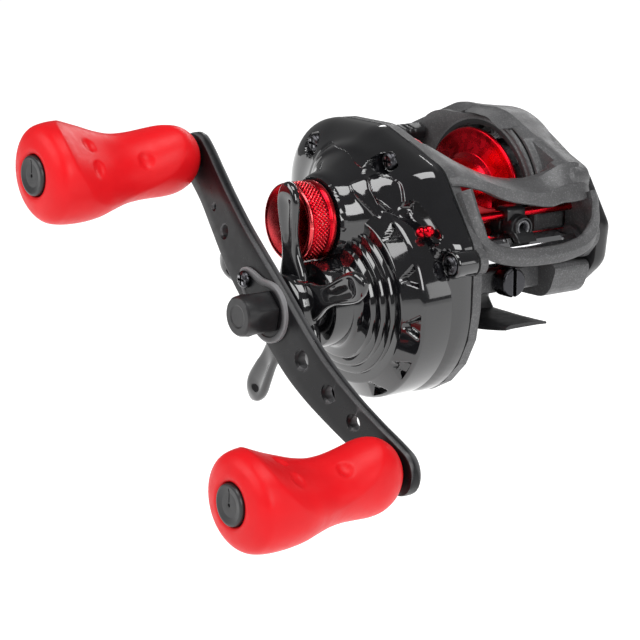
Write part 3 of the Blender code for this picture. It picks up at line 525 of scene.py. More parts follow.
def build_knob(name):
    centre = KNOBS[name]
    turn = math.radians(KNOB_TURNS[name])
    count, steps = 144, 110
    first, last = LOBE[0][0], LOBE[-1][0]
    rings = discs(CAP_SEAT, count, centre, turn - math.pi)
    for k in range(steps + 1):
        t = 0.5 - 0.5 * math.cos(math.pi * k / steps)
        y = first + (last - first) * (0.5 * t + 0.5 * k / steps)
        rings.append([
            about(centre, knob_radius(y, angle), angle + turn, y) for angle in angles(count, -math.pi)
        ])
    rings += discs(POST_BORE, count, centre, turn - math.pi)
    grip = skin(rings, caps=False)
    body = f"{name}_knob"
    build(f"{name}_grip", grip, body, "red_rubber", [f"knob_grip_{name}"], angle=60)
    x, z = centre
    cap = turned([
        (0.0, -90.5), (0.4, -90.5), (0.4, -90.9), (2.6, -90.8), (4.0, -91.1), (4.45, -91.0), (4.6, -90.5),
        (4.6, -89.0), (0.0, -89.0),
    ], 96, centre, soft=0.12)
    cap = cut(cap, block((x - 0.14, -92.0, z + 0.6), (x + 0.14, -90.72, z + 3.6)))
    build(f"{name}_cap", cap, body, "black", [f"knob_cap_{name}"], angle=40)
    post = turned([
        (0.0, -60.0), (2.2, -60.0), (2.2, -44.9), (3.3, -44.7), (3.3, -43.9), (2.6, -43.3), (0.0, -43.3),
    ], 64, centre)
    build(f"{name}_post", post, "crank", "black_steel", [f"knob_post_{name}"])


# --- handle

ARM_THICKNESS = 2.5
ARM_WIDTHS = ((0.0, 7.1), (12.0, 6.9), (20.0, 6.4), (30.0, 5.75), (38.0, 5.45), (43.0, 5.6), (47.5, 5.7))
ARM_FACES = ((0.0, -53.1), (12.0, -53.05), (20.0, -52.4), (30.0, -50.7), (38.0, -49.0), (47.5, -47.4),
             (54.0, -47.2))
ARM_SWAY = 1.05  # how far each half of the arm bows to one side
ARM_SECTION = (  # share of the half width, depth below the outer face
    (0.0, 0.0), (0.5, 0.0), (0.86, 0.0), (0.93, 0.12), (0.985, 0.6), (1.0, 1.0),
    (1.0, ARM_THICKNESS - 0.5), (0.95, ARM_THICKNESS), (0.5, ARM_THICKNESS),
)
ARM_HOLES = ((-24.5, 1.45), (-32.0, 0.6), (14.6, 1.9), (24.8, 1.75), (33.4, 1.6))  # place along, radius
KEEPER_SCREW = -10.0
KEEPER_RADIUS, KEEPER_LOBE = 7.0, 5.9
NUT_RADIUS = 5.15


def along_handle(s, v=0.0):
    """The side-view point s along the handle from the crank and v across it."""
    cos, sin = math.cos(HANDLE_ANGLE), math.sin(HANDLE_ANGLE)
    return (CRANK[0] + s * cos - v * sin, CRANK[1] + s * sin + v * cos)


def arm_face(s):
    return curve_through(ARM_FACES, abs(s))


def build_handle():
    tip = ARM_WIDTHS[-1][1]
    reach = HALF_SPAN + tip
    count = 90
    rings = []
    for k in range(count + 1):
        s = reach * math.sin(math.pi * (k / count - 0.5)) * 0.9995
        beyond = abs(s) - HALF_SPAN
        half = math.sqrt(tip ** 2 - beyond ** 2) if beyond > 0 else curve_through(ARM_WIDTHS, abs(s))
        offset = -ARM_SWAY * math.sin(math.pi * s / HALF_SPAN) if beyond < 0 else 0.0
        face = arm_face(s)
        section = [(half * v, face + depth) for v, depth in ARM_SECTION]
        section += [(-v, y) for v, y in reversed(section[1:])]
        rings.append([(x, y, z) for (x, z), y in ((along_handle(s, offset + v), y) for v, y in section)])
    arm = skin(rings)
    tools = [turned([(0.0, -56.0), (3.2, -56.0), (3.2, -48.0), (0.0, -48.0)], 48, CRANK, soft=0)]
    for s, radius in ARM_HOLES:
        face = arm_face(s)
        hole = [(0.0, face - 2.0), (radius + 0.5, face - 2.0), (radius + 0.5, face), (radius, face + 0.45),
                (radius, face + 6.0), (0.0, face + 6.0)]
        tools.append(turned(hole, 40, along_handle(s), soft=0))
    arm = cut(arm, *tools)
    build("handle_blade", arm, "crank", "satin_black", ["handle_arm"], angle=28)


def build_handle_nut():
    """The cap nut on the drive shaft, the plate that keeps it from turning, and the plate's screw."""
    screw_at = along_handle(KEEPER_SCREW)
    lobe = math.atan2(screw_at[1] - CRANK[1], screw_at[0] - CRANK[0])
    outline = []
    for angle in angles(96):
        away = math.remainder(angle - lobe, math.tau)
        radius = KEEPER_RADIUS + KEEPER_LOBE * math.exp(-(away / 0.40) ** 2)
        outline.append((CRANK[0] + radius * math.cos(angle), CRANK[1] + radius * math.sin(angle)))
    face = arm_face(0.0)
    plate = skin([standing(inset(outline, d), face + y) for d, y in (
        (0.0, 0.1), (0.0, -0.7), (0.3, -0.95), (1.3, -0.95), (1.5, -0.8),
    )])
    build("nut_keeper", plate, "crank", "satin_black", ["nut_retainer"], angle=30)
    screw = phillips(screw_at, face - 2.3, 2.0, face + 1.5)
    build("keeper_screw", screw, "crank", "black_steel", ["retainer_screw"])

    rings = []
    count = 72
    for y in (face - 0.9, face - 5.4):
        ring = []
        for angle in angles(count):
            corner = math.remainder(angle - 0.3, math.pi / 3)
            radius = NUT_RADIUS * math.cos(math.pi / 6) / math.cos(math.pi / 6 - abs(corner))
            ring.append(about(CRANK, radius, angle, y))
        rings.append(ring)
    rings += discs([(r, face - y) for r, y in (
        (4.75, 6.7), (4.5, 8.4), (4.15, 8.85), (2.6, 8.85), (2.4, 8.7),
    )], count, CRANK)
    build("handle_cap_nut", skin(rings), "crank", "black", ["handle_nut"], angle=25, bevel=0.12)


# --- star drag and tension knob

STAR_FACE = -48.0
STAR_ARMS, STAR_START = 5, math.radians(93)
STAR_ARM = (  # distance out, half width, thickness, set-back of the face
    (4.5, 4.6, 3.0, 0.2), (8.0, 4.2, 2.9, 0.3), (12.0, 2.9, 2.5, 0.2), (16.0, 2.55, 2.3, 0.0),
    (20.0, 3.1, 2.4, -0.2), (24.0, 3.45, 2.5, -0.2), (26.6, 2.7, 2.2, 0.0), (28.0, 1.3, 1.6, 0.4),
    (28.35, 0.3, 0.9, 0.7),
)


def build_star():
    parts = []
    count = 28
    for turn in angles(STAR_ARMS, STAR_START):
        cos, sin = math.cos(turn), math.sin(turn)
        rings = []
        for k in range(61):
            u = STAR_ARM[0][0] + (STAR_ARM[-1][0] - STAR_ARM[0][0]) * math.sin(math.pi / 2 * k / 60)
            half, thick, back = read_table(STAR_ARM, u)
            scoop = 0.85 * blend_between(u, 12.0, 18.0) * (1 - blend_between(u, 23.0, 26.5))
            ring = []
            for roll in angles(count):
                v = half * math.copysign(abs(math.cos(roll)) ** 0.75, math.cos(roll))
                y = thick / 2 * math.copysign(abs(math.sin(roll)) ** 0.6, -math.sin(roll))
                if y < 0:
                    y += scoop * max(0.0, 1 - (v / half / 0.72) ** 2)
                y += STAR_FACE + back + thick / 2
                ring.append((CRANK[0] + u * cos - v * sin, y, CRANK[1] + u * sin + v * cos))
            rings.append(ring)
        parts.append(skin(rings))
    hub = turned([
        (3.7, -50.2), (6.2, -50.2), (7.6, -49.3), (8.0, -47.6), (7.8, -45.6), (7.2, -44.2), (3.7, -44.2),
    ], 96, CRANK, soft=0.5)
    parts.append(hub)
    build("drag_star", merged(*parts), "star", "gloss_black", ["star_drag"], angle=50)


KNURL_BAND = (-42.9, -38.3)
KNURL_ROWS = 58
KNURL_PITCH = 6.0  # how fast the two sets of grooves cross, in radians of a row per mm
KNURL_RADIUS, KNURL_HEIGHT = 8.72, 0.416


def build_tension_knob():
    """The knob about the spool's axis, with two crossing sets of grooves about its rim."""
    count, steps = 360, 30
    low, high = KNURL_BAND
    rings = discs((
        (6.9, -40.5), (6.9, -36.75), (7.2, -36.6), (8.7, -36.6), (8.95, -36.75), (9.0, -37.0), (9.0, -37.9),
        (8.85, -38.1),
    ), count)
    for k in range(steps + 1):
        y = high + (low - high) * k / steps
        fade = min(1.0, 4.0 * k / steps, 4.0 * (steps - k) / steps)
        ring = []
        for angle in angles(count):
            crossing = min(
                abs(math.remainder(angle * KNURL_ROWS + hand * (y - low) * KNURL_PITCH, math.tau))
                for hand in (1, -1)
            ) / math.pi
            ring.append(about(AXIS, KNURL_RADIUS + KNURL_HEIGHT * crossing * fade, angle, y))
        rings.append(ring)
    rings += discs((
        (8.85, -43.1), (9.0, -43.25), (8.95, -43.5), (8.6, -43.85), (8.2, -43.95), (7.9, -43.8),
        (7.6, -43.85), (5.0, -44.3), (2.5, -44.52), (0.6, -44.58), (0.45, -44.5), (0.45, -42.0),
    ), count)
    build("cast_control_knob", skin(rings), "tension_cap", "red_anodised", ["tension_knob"], angle=50)


# --- gear cover

HOUSING = 23.1
COVER_CORNERS = [
    (-31.3, 19.4, 16.0), (-1.0, 19.4, 12.0), (19.5, 12.0, 6.0), (30.4, -4.0, 5.0),
    (CRANK[0] + HOUSING, CRANK[1] - HOUSING, HOUSING), (CRANK[0] - HOUSING, CRANK[1] - HOUSING, HOUSING),
    (CRANK[0] - HOUSING, -9.5, 4.0), (-32.5, -8.0, 5.0),
]
SEAM = -15.0
POCKETS = 12
COVER_SCREWS = [side(middle(node)) for node in ("cover_screw_front", "cover_screw_rear")]
SLOT_LINE = ((18.8, 3.6), (24.6, -2.0))
RIBS = (((9.3, 10.7), (19.4, -0.4)), ((7.9, 8.7), (18.0, -2.0)))
BOSS_RADIUS, BOSS_HEIGHT = 9.6, 36.0
BOSS_RISE = (  # distance from the spool's axis, height of the cover above the spool's middle plane
    (BOSS_RADIUS, BOSS_HEIGHT), (10.2, 35.3), (11.2, 32.4), (13.0, 29.6), (15.5, 27.0), (18.5, 25.0),
    (22.0, 23.9), (32.0, 22.9),
)
COVER_EDGE = 16.5  # height at the cover's outline
ROUNDING = 9.0  # width of the rounded border inside the outline
DRAFT = 0.04


def polar(outline, angle):
    """Distance from the spool's axis to the outline at an angle."""
    ux, uz = math.cos(angle), math.sin(angle)
    best = 0.0
    for a, b in zip(outline, outline[1:] + outline[:1]):
        ex, ez = b[0] - a[0], b[1] - a[1]
        across = ux * ez - uz * ex
        if abs(across) < 1e-9:
            continue
        reach = (a[0] * ez - a[1] * ex) / across
        t = (a[0] * uz - a[1] * ux) / across
        if reach > 0 and -1e-9 <= t <= 1 + 1e-9:
            best = max(best, reach)
    return best


def to_segment(x, z, segment):
    """Distance from a point to a segment."""
    (ax, az), (bx, bz) = segment
    ex, ez = bx - ax, bz - az
    t = min(max(((x - ax) * ex + (z - az) * ez) / (ex * ex + ez * ez), 0.0), 1.0)
    return math.hypot(x - ax - t * ex, z - az - t * ez)


def cover_height(x, z, edge):
    """How far out of the reel the cover stands at (x, z), edge mm inside its outline."""
    r = math.hypot(x, z)
    e = min(edge / ROUNDING, 1.0)
    height = COVER_EDGE + (curve_through(BOSS_RISE, r) - COVER_EDGE) * math.sqrt(1 - (1 - e) ** 2)
    height -= 0.5 * blend_between(edge, 4.6, 5.0) * (1 - blend_between(r, 17.5, 18.5))
    phi = math.degrees(math.atan2(z, x))
    ridge = 13.8 + 3.0 * (phi + 40.0) / 220.0
    window = blend_between(phi, -55.0, -20.0) * (1 - blend_between(phi, 130.0, 178.0))
    height += 0.9 * window * math.exp(-((r - ridge) / 1.1) ** 2)
    for rib in RIBS:
        height += 1.15 * math.exp(-(to_segment(x, z, rib) / 0.55) ** 2)
    height -= 2.2 * (1 - blend_between(to_segment(x, z, SLOT_LINE), 1.5, 2.1))
    for at in COVER_SCREWS:
        height = min(height, 21.9 + 30.0 * blend_between(math.dist((x, z), at), 2.7, 5.4))
    return min(height, 20.2 + 30.0 * blend_between(math.dist((x, z), LUG), 3.3, 4.6))


def cover_plate():
    """The plate over the handle side, from its seam up to the boss about the spool's axis."""
    outline = rounded(COVER_CORNERS, 16)
    count, steps, inner = 420, 96, 6.9
    reaches = [(polar(outline, angle), angle) for angle in angles(count)]
    rings = []
    for y, draft in ((SEAM, 0.3), (SEAM - 0.3, 0.0), (SEAM - 0.9, 0.0), (-COVER_EDGE, DRAFT)):
        rings.append([about(AXIS, reach - draft, angle, y) for reach, angle in reaches])
    for k in range(steps + 1):
        t = k / steps
        ring = []
        for reach, angle in reaches:
            edge = (reach - DRAFT - inner) * (0.75 * t * t + 0.25 * t)
            radius = reach - DRAFT - edge
            x, z = radius * math.cos(angle), radius * math.sin(angle)
            height = cover_height(x, z, edge) if radius > BOSS_RADIUS else BOSS_HEIGHT
            ring.append((x, -height, z))
        rings.append(ring)
    return skin(rings)


def gear_housing():
    """The stepped round housing about the crank, with a ring of pockets in its slope."""
    count = 480
    rings = discs(((21.0, -20.0), (HOUSING, -20.0), (HOUSING, -27.2), (22.95, -27.7), (22.6, -28.1)),
                  count, CRANK)
    for k in range(15):
        t = k / 14
        r = 22.5 - 3.2 * t
        y = -28.2 - 2.6 * t
        half = math.radians(7.2 * (1 - t) + 1.0)
        ring = []
        for angle in angles(count):
            away = abs(math.remainder(angle - math.radians(-8), math.tau / POCKETS))
            depth = 1.7 * blend_between(1 - away / half, 0.0, 0.3) * blend_between(t, 0.02, 0.12)
            depth *= 1 - blend_between(t, 0.86, 0.98)
            ring.append(about(CRANK, r, angle, y + depth))
        rings.append(ring)
    rings += discs((
        (19.1, -31.0), (18.7, -31.1), (16.9, -31.2), (16.7, -31.4), (16.6, -32.0), (16.3, -32.2),
        (15.0, -32.3), (14.8, -32.5), (14.7, -33.3), (14.4, -33.5), (13.1, -33.6), (12.9, -33.8),
        (12.7, -34.6), (12.4, -34.8), (10.9, -35.0), (10.1, -35.6), (9.75, -36.4), (9.7, -37.0),
        (9.7, -41.3), (9.5, -41.8), (9.1, -42.0), (4.2, -42.0), (4.0, -41.6), (4.0, -40.0),
    ), count, CRANK)
    return skin(rings)


def build_gear_cover():
    barrel = turned([
        (0.0, -15.2), (3.2, -15.2), (3.2, -20.4), (2.85, -20.9), (2.5, -20.9), (2.45, -20.2), (0.0, -20.2),
    ], 64, LUG, soft=0.2)
    cover = merged(cover_plate(), gear_housing(), barrel)
    build("gear_cover_shell", cover, BODY, "gloss_black", ["gear_cover"], angle=38)

    for node, head, radius in (("cover_screw_front", -23.3, 2.2), ("cover_screw_rear", -23.3, 2.2),
                               ("cover_screw_lug", -21.6, 2.3)):
        screw = phillips(side(middle(node)), head, radius, head + 4.0)
        build(f"{node}_head", screw, BODY, "black_steel", [node])


def build_keeper():
    """The two-ended keeper in the cover's slot."""
    (ax, az), (bx, bz) = SLOT_LINE
    ball = [(0.0, -2.6), (0.7, -2.5), (1.25, -1.9), (1.42, -1.25), (1.2, -0.6), (0.75, -0.15), (0.7, 0.0),
            (0.75, 0.15), (1.2, 0.6), (1.42, 1.25), (1.25, 1.9), (0.7, 2.5), (0.0, 2.6)]
    at = (ax + (bx - ax) * 0.78, -23.2, az + (bz - az) * 0.78)
    double = aimed(turned(ball, 48, soft=0.3), (1.0, 0.0, 0.25), at)
    build("hook_keeper", double, BODY, "red_anodised", angle=60)


# --- frame, hood and sill

HOOD_RING = 20.2
RING_LIP = HOOD_RING + 0.6  # where the rounded lip ends and the flat face begins
HOOD_FACE = 12.8
FACET = ((8.0, 19.6), (25.4, 12.4), (18.4, 7.2))  # the ends of the face's crease, and the hollow's foot
HOOD_SLOPE = 1.8  # how far the face falls back from the crease to the outer fold
HOLLOW_DEPTH = 1.6
DECK = (  # y, rear edge x and z, middle x and z, crease x and z, lower lip x and z
    (-14.6, 6.5, 16.75, 14.0, 14.0, 20.8, 10.0, 22.2, 8.2),
    (-12.0, 8.6, 16.0, 15.4, 13.3, 21.4, 10.2, 22.8, 8.0),
    (-10.0, 10.9, 14.5, 16.6, 12.4, 22.4, 9.8, 23.7, 7.5),
    (-7.0, 13.1, 12.3, 18.4, 11.1, 23.9, 9.2, 25.2, 6.6),
    (-3.0, 15.1, 10.0, 20.4, 9.4, 25.8, 7.6, 27.2, 4.6),
    (2.0, 17.1, 8.2, 22.6, 8.0, 28.0, 6.3, 29.4, 3.4),
    (7.5, 17.9, 7.5, 24.0, 7.8, 29.5, 5.8, 31.0, 2.6),
    (11.0, 18.5, 7.5, 25.6, 9.8, 29.7, 6.5, 31.1, 3.1),
    (14.0, 19.4, 7.9, 26.8, 11.4, 29.7, 6.9, 31.0, 3.0),
    (18.5, 20.0, 8.2, 26.8, 11.2, 28.7, 6.8, 29.9, 3.0),
    (22.4, 18.6, 7.4, 24.0, 8.6, 26.2, 6.4, 27.0, 3.0),
)


HOOD_OUTLINE = rounded([
    (-33.0, 3.0, 2.0), (-32.5, 12.6, 6.0), (-12.0, 21.1, 14.0), (5.0, 20.9, 12.0), (29.5, 9.7, 3.5),
    (28.4, 3.2, 1.0), (12.0, 3.2, 2.0),
], 16)


def hood_deck():
    """The deck before the spool, with its creased front lip."""
    rings = []
    for k in range(75):
        y = DECK[0][0] + (DECK[-1][0] - DECK[0][0]) * k / 74
        rx, rz, mx, mz, cx, cz, lx, lz = read_table(DECK, y)
        rings.append(standing([
            (rx, rz - 1.2), (rx, rz - 0.3), (rx + 0.35, rz), ((rx + mx) / 2, (rz + mz) / 2 + 0.12),
            (mx, mz), ((mx + cx) / 2, (mz + cz) / 2 + 0.1), (cx - 0.5, cz + 0.2), (cx, cz),
            (cx + 0.35, cz - 0.5), (lx, lz + 0.7), (lx, lz + 0.25), (lx - 0.5, lz),
            (lx - 2.2, lz), (rx + 0.5, rz - 1.5),
        ], y))
    return skin(rings)


def hood_shoulder():
    """The shoulder about the spool's palm end, with a sloping facet and a hollow in its face."""
    (top_x, top_z), (front_x, front_z), (foot_x, foot_z) = FACET
    crease = top_x * (front_z - top_z) - top_z * (front_x - top_x)
    foot_slope = (front_z - foot_z) / (front_x - foot_x)
    rings = []
    steps, first, last = 230, math.radians(9.5), math.radians(177.0)
    for k in range(steps + 1):
        angle = first + (last - first) * k / steps
        cos, sin = math.cos(angle), math.sin(angle)
        outer = max(polar(HOOD_OUTLINE, angle), HOOD_RING + 0.95)
        fold = outer - 0.9
        across = cos * (front_z - top_z) - sin * (front_x - top_x)
        reach = crease / across if math.radians(12) < angle < math.radians(75) else 0.0
        section = [(HOOD_RING, 15.0), (HOOD_RING, 13.3), (HOOD_RING + 0.25, 12.95), (RING_LIP, HOOD_FACE)]
        for j in range(1, 37):
            r = RING_LIP + (fold - RING_LIP) * j / 36
            y = HOOD_FACE
            if reach <= HOOD_RING + 1.2:
                y += HOOD_SLOPE * (r - RING_LIP) / max(fold - RING_LIP, 0.3)
            elif r > reach:
                y += HOOD_SLOPE * (r - reach) / max(fold - reach, 0.3)
            above_foot = r * sin - foot_z - (r * cos - foot_x) * foot_slope
            hollow = (blend_between(reach - r, 0.0, 0.5) * blend_between(r, HOOD_RING + 1.1, HOOD_RING + 1.6)
                      * blend_between(above_foot, 0.0, 0.6))
            section.append((r, y + HOLLOW_DEPTH * hollow))
        far = max(outer - 2.4, HOOD_RING + 0.3)
        section += [(outer - 0.35, 15.0), (outer, 15.9), (outer - 0.1, 17.2), ((2 * outer + far) / 3, 19.6),
                    ((outer + 3 * far) / 4, 21.8), (far, 22.5), (HOOD_RING, 22.5)]
        rings.append([(r * cos, y, r * sin) for r, y in section])
    return skin(rings)


def build_hood():
    """The hood, and a dark ring in the gap about the spool, painted shade where the opening runs deep."""
    well = [(17.4, 11.75), (18.4, 11.75), (18.4, 12.6), (17.4, 12.6)]
    # painted shade: this dark ring fills the gap between the spool and the hood
    build("spool_gap_shade_ring", turned(well, 160, soft=0.1), BODY, "black", finish=RECESS_SHADE)
    rim = [(18.45, 11.85), (19.9, 12.3), (20.15, 12.65), (20.15, 12.9), (18.45, 12.6)]
    shell = merged(hood_deck(), hood_shoulder(), turned(rim, 160, soft=0.06))
    build("hood_shell", shell, BODY, "matte_grey", ["hood"], angle=24)


SILL = (  # the places that its front bar passes through
    (24.6, -14.4, 7.4), (27.2, -13.9, 1.5), (29.2, -12.4, -3.6), (30.7, -8.5, -6.6), (31.8, -2.5, -8.2),
    (32.4, 5.0, -8.6), (32.6, 12.0, -8.3), (32.3, 18.0, -6.8), (31.5, 21.2, -3.8), (30.2, 22.2, 0.4),
    (28.6, 22.2, 4.4),
)


def soften_frame():
    item = frame["nodes"]["frame"]
    soften(item, 0.35, 3, 32)
    item.data.shade_smooth()


def build_sill():
    """The bar across the front under the line window, and the block at its palm end."""
    section = [(-2.6, -1.9), (-0.9, -2.0), (-0.25, -1.7), (0.0, -1.1), (0.0, 0.5), (-0.5, 1.3), (-1.5, 1.95),
               (-2.2, 1.9), (-2.6, 1.5)]
    sill = swept(spline(SILL, 10), section, (0.25, 0.0, 1.0))
    post = rounded([
        (20.8, 2.6, 0.8), (29.2, 2.6, 2.0), (31.6, -6.0, 4.0), (27.0, -11.2, 3.0), (20.8, -11.2, 0.5),
    ])
    ends = ((0.4, 20.25), (0.0, 20.6), (0.0, 22.1), (0.4, 22.45))
    inside = [standing(inset(post, d), y) for d, y in ends]
    build("front_sill", merged(sill, skin(inside)), BODY, "matte_grey", ["front_guard"], angle=30)


# --- spool and level wind

def build_spool():
    rim = 16.7
    half = [
        (2.0, 11.0), (6.0, 11.0), (6.3, 10.7), (12.6, 10.7), (13.2, 11.0), (15.9, 11.0), (rim - 0.25, 10.85),
        (rim, 10.5), (rim, 10.0), (rim - 0.25, 9.72), (rim - 0.8, 9.62), (rim - 1.6, 9.5), (12.6, 8.95),
        (10.9, 8.6), (9.95, 7.6), (9.6, 6.6),
    ]
    profile = [(r, -y) for r, y in half] + [(r, y) for r, y in reversed(half)]
    spool = turned(profile, 160, soft=0.12)
    build("spool_body", spool, "spool_rotor", "red_anodised", ["spool"], angle=30)


WORM_RADIUS, WORM_LEAD, GROOVE_DEPTH = 2.35, 9.0, 0.7


def build_level_wind():
    """The line guide with its eye, the rod it slides on, and the bracket that holds the worm."""
    eye = middle("guide_ring")
    front = span("guide_ring")[1].x
    x, z = WORM
    barrel = turned([
        (1.35, -9.6), (2.3, -9.6), (2.75, -9.2), (2.95, -8.4), (2.95, -5.4), (2.7, -5.2), (2.7, -4.4),
        (2.95, -4.2), (2.95, -1.5), (2.85, -1.1), (2.55, -0.8), (2.6, -0.5), (2.45, -0.05), (2.05, 0.0),
        (1.95, -0.6), (1.35, -0.8),
    ], 72, soft=0.12)
    barrel = aimed(barrel, (1, 0, 0), (front, eye.y, eye.z))
    collar = [(3.85, -2.7), (5.2, -2.7), (5.3, -2.4), (5.3, 2.4), (5.2, 2.7), (3.85, 2.7)]
    collar = cut(turned(collar, 72, (x, z)), block((x - 9, -5, -18), (x + 9, 5, -9.8)),
                 block((x + 1.0, -5, -18), (x + 9, 5, -5.2)))
    bmesh.ops.translate(collar, vec=(0, eye.y, 0), verts=collar.verts)
    rod_x, rod_z = side(middle("guide_rod"))
    saddle = rounded([(rod_x - 2.2, rod_z - 3.2, 0.3), (rod_x - 2.2, rod_z + 2.0, 1.2),
                      (rod_x + 2.2, rod_z + 2.0, 1.2), (rod_x + 2.2, rod_z - 3.2, 0.3)])
    saddle = skin([standing(inset(saddle, 0.25), eye.y - 2.6), standing(saddle, eye.y - 2.3),
                   standing(saddle, eye.y + 2.3), standing(inset(saddle, 0.25), eye.y + 2.6)])
    guide = merged(barrel, collar, saddle)
    build("line_guide", guide, "carriage", "black_nylon", ["line_guide_carriage"], angle=40)
    ring = [(1.15, -1.4), (1.9, -1.4), (1.92, -0.2), (1.75, 0.12), (1.5, 0.2), (1.25, 0.05), (1.12, -0.4)]
    ring = aimed(turned(ring, 72, soft=0.15), (1, 0, 0), (front - 0.35, eye.y, eye.z))
    build("line_eye", ring, "carriage", "ceramic", ["guide_ring"], angle=60)

    y0, y1 = (corner.y for corner in span("guide_rod"))
    rod = turned([(0.0, y0), (0.8, y0), (1.0, y0 + 0.2), (1.0, y1 - 0.2), (0.8, y1), (0.0, y1)], 48,
                 (rod_x, rod_z), soft=0.1)
    build("level_wind_rod", rod, BODY, "red_anodised", ["guide_rod"])

    plate = rounded([
        (-11.9, -1.4, 0.6), (-11.9, 3.6, 1.6), (-7.6, 3.6, 2.2), (-4.0, 2.2, 1.0), (-1.6, 2.0, 0.4),
        (-1.6, -0.6, 0.4), (-7.0, -1.4, 1.0),
    ])
    x_face = rod_x - 0.4
    bracket = skin([
        [(x_face, y, z) for y, z in inset(plate, 0.15)], [(x_face - 0.2, y, z) for y, z in plate],
        [(x_face - 1.0, y, z) for y, z in plate],
    ])
    hole = aimed(turned([(0.0, -3.0), (1.05, -3.0), (1.05, 3.0), (0.0, 3.0)], 40, soft=0), (1, 0, 0),
                 (x_face, -8.4, 1.5))
    # its darker red is painted shade for its place deep in the window
    build("worm_bracket", cut(bracket, hole), BODY, "red_anodised", angle=30, finish=SHADED_RED)


def build_worm():
    """The worm, with a groove of each hand that cross each other."""
    y0, y1 = (corner.y for corner in span("worm_shaft"))
    rings = []
    count, steps = 60, 320
    for k in range(steps + 1):
        y = y0 + 5.5 + (y1 - y0 - 8.5) * k / steps
        fade = blend_between(min(k, steps - k), 6, 16)
        ring = []
        for angle in angles(count):
            turn = math.tau * y / WORM_LEAD
            away = min(abs(math.remainder(angle - groove, math.tau)) for groove in (turn, -turn))
            depth = GROOVE_DEPTH * (1 - blend_between(away, 0.28, 0.48))
            ring.append(about(WORM, WORM_RADIUS - depth * fade, angle, y))
        rings.append(ring)
    ends = turned([(0.0, y0), (1.2, y0), (1.2, y1), (0.0, y1)], 32, WORM)
    build("level_wind_worm", merged(skin(rings), ends), "worm", "steel", ["worm_shaft"], angle=40)


# --- foot, palm side and controls

FOOT = (  # x, half width, underside and top above the seat
    (-31.0, 3.2, 1.5, 2.3), (-30.0, 4.8, 1.3, 2.35), (-24.0, 6.3, 0.4, 2.3), (-17.0, 7.0, 0.02, 2.5),
    (-8.0, 7.0, 0.0, 2.7), (8.0, 7.0, 0.0, 2.7), (17.0, 7.0, 0.02, 2.5), (24.0, 6.6, 0.5, 2.45),
    (29.5, 6.35, 1.2, 2.5), (31.4, 6.1, 1.5, 2.55),
)


FOOT_SECTION = (  # share of the half width, share of the thickness
    (-1.0, 0.0), (-0.6, 0.0), (0.0, 0.0), (0.6, 0.0), (1.0, 0.0), (1.0, 0.35), (0.97, 0.55), (0.75, 0.9),
    (0.4, 1.0), (0.0, 1.0), (-0.4, 1.0), (-0.75, 0.9), (-0.97, 0.55), (-1.0, 0.35),
)


def build_foot():
    seat = -SPOOL_CENTRE.z * 1000.0
    rings = []
    for k in range(61):
        x = FOOT[0][0] + (FOOT[-1][0] - FOOT[0][0]) * k / 60
        half, low, high = read_table(FOOT, x)
        section = []
        for v, w in FOOT_SECTION:
            dish = 0.7 * (1 - v * v) * blend_between(x, 22.0, 31.4) * (1 if w < 0.5 else 0.8)
            front = x - dish * blend_between(x, 29.0, 31.4)
            section.append((front, v * half, seat + low + (high - low) * w))
        rings.append(section)
    blade = skin(rings)
    neck = []
    for z, fx, fy in (
        (seat + 1.5, 14.6, 6.2), (seat + 3.4, 13.8, 5.7), (-20.6, 13.2, 5.4), (-19.5, 13.4, 5.5),
    ):
        corners = [(-fx, -fy, 2.0), (fx, -fy, 2.0), (fx, fy, 2.0), (-fx, fy, 2.0)]
        neck.append([(x, y, z) for x, y in rounded(corners)])
    build("rod_foot", merged(blade, skin(neck)), BODY, "black", ["reel_foot"])


def build_palm_shell():
    """The palm cover: a rounded edge, then a slightly domed face that runs in to the dial's round seat."""
    count, steps = 240, 20
    face, dome, seat = 28.75, 0.25, 9.6
    outline = evened(rounded([
        (-31.5, 9.0, 7.0), (-16.0, 17.6, 12.0), (5.0, 17.6, 10.0), (22.5, 7.6, 5.0), (29.8, -3.5, 4.0),
        (28.5, -13.0, 6.0), (20.0, -20.2, 9.0), (-22.0, -20.5, 12.0), (-32.0, -6.0, 6.0),
    ], 14), count)
    start = min(range(count), key=lambda i: abs(math.atan2(outline[i].y, outline[i].x)))
    outline = outline[start:] + outline[:start]
    turn = math.copysign(1, outline[5].y - outline[0].y)
    round_seat = [turn * angle for angle in angles(count)]
    rings = [standing(inset(outline, d), y) for d, y in (
        (0.5, 22.8), (0.1, 23.0), (0.0, 23.4), (0.05, 25.0), (0.3, 26.0), (0.9, 27.0), (1.9, 27.9),
        (3.2, 28.5), (4.2, face),
    )]
    edge = inset(outline, 4.2)
    for k in range(1, steps + 1):
        t = k / steps
        y = face + dome * math.sin(math.pi / 2 * t)
        targets = [about(AXIS, seat, angle, y) for angle in round_seat]
        rings.append([Vector((p.x, y, p.y)).lerp(Vector(target), t) for p, target in zip(edge, targets)])
    for r, y in ((9.3, 28.95), (9.1, 28.6), (9.0, 28.2), (8.2, 28.1), (5.0, 28.1)):
        rings.append([about(AXIS, r, angle, y) for angle in round_seat])
    build("palm_shell", skin(rings), BODY, "black", ["palm_cover"], angle=40)


DIAL_NOTCHES = 36
DIAL = (  # radius, y, depth of the notches
    (4.0, 28.4, 0.0), (7.3, 28.4, 0.0), (7.55, 28.7, 0.0), (7.6, 29.0, 0.28), (7.6, 30.4, 0.28),
    (7.45, 30.8, 0.1), (7.0, 31.05, 0.0), (6.6, 31.1, 0.0), (6.3, 30.8, 0.0), (2.0, 30.6, 0.0),
)


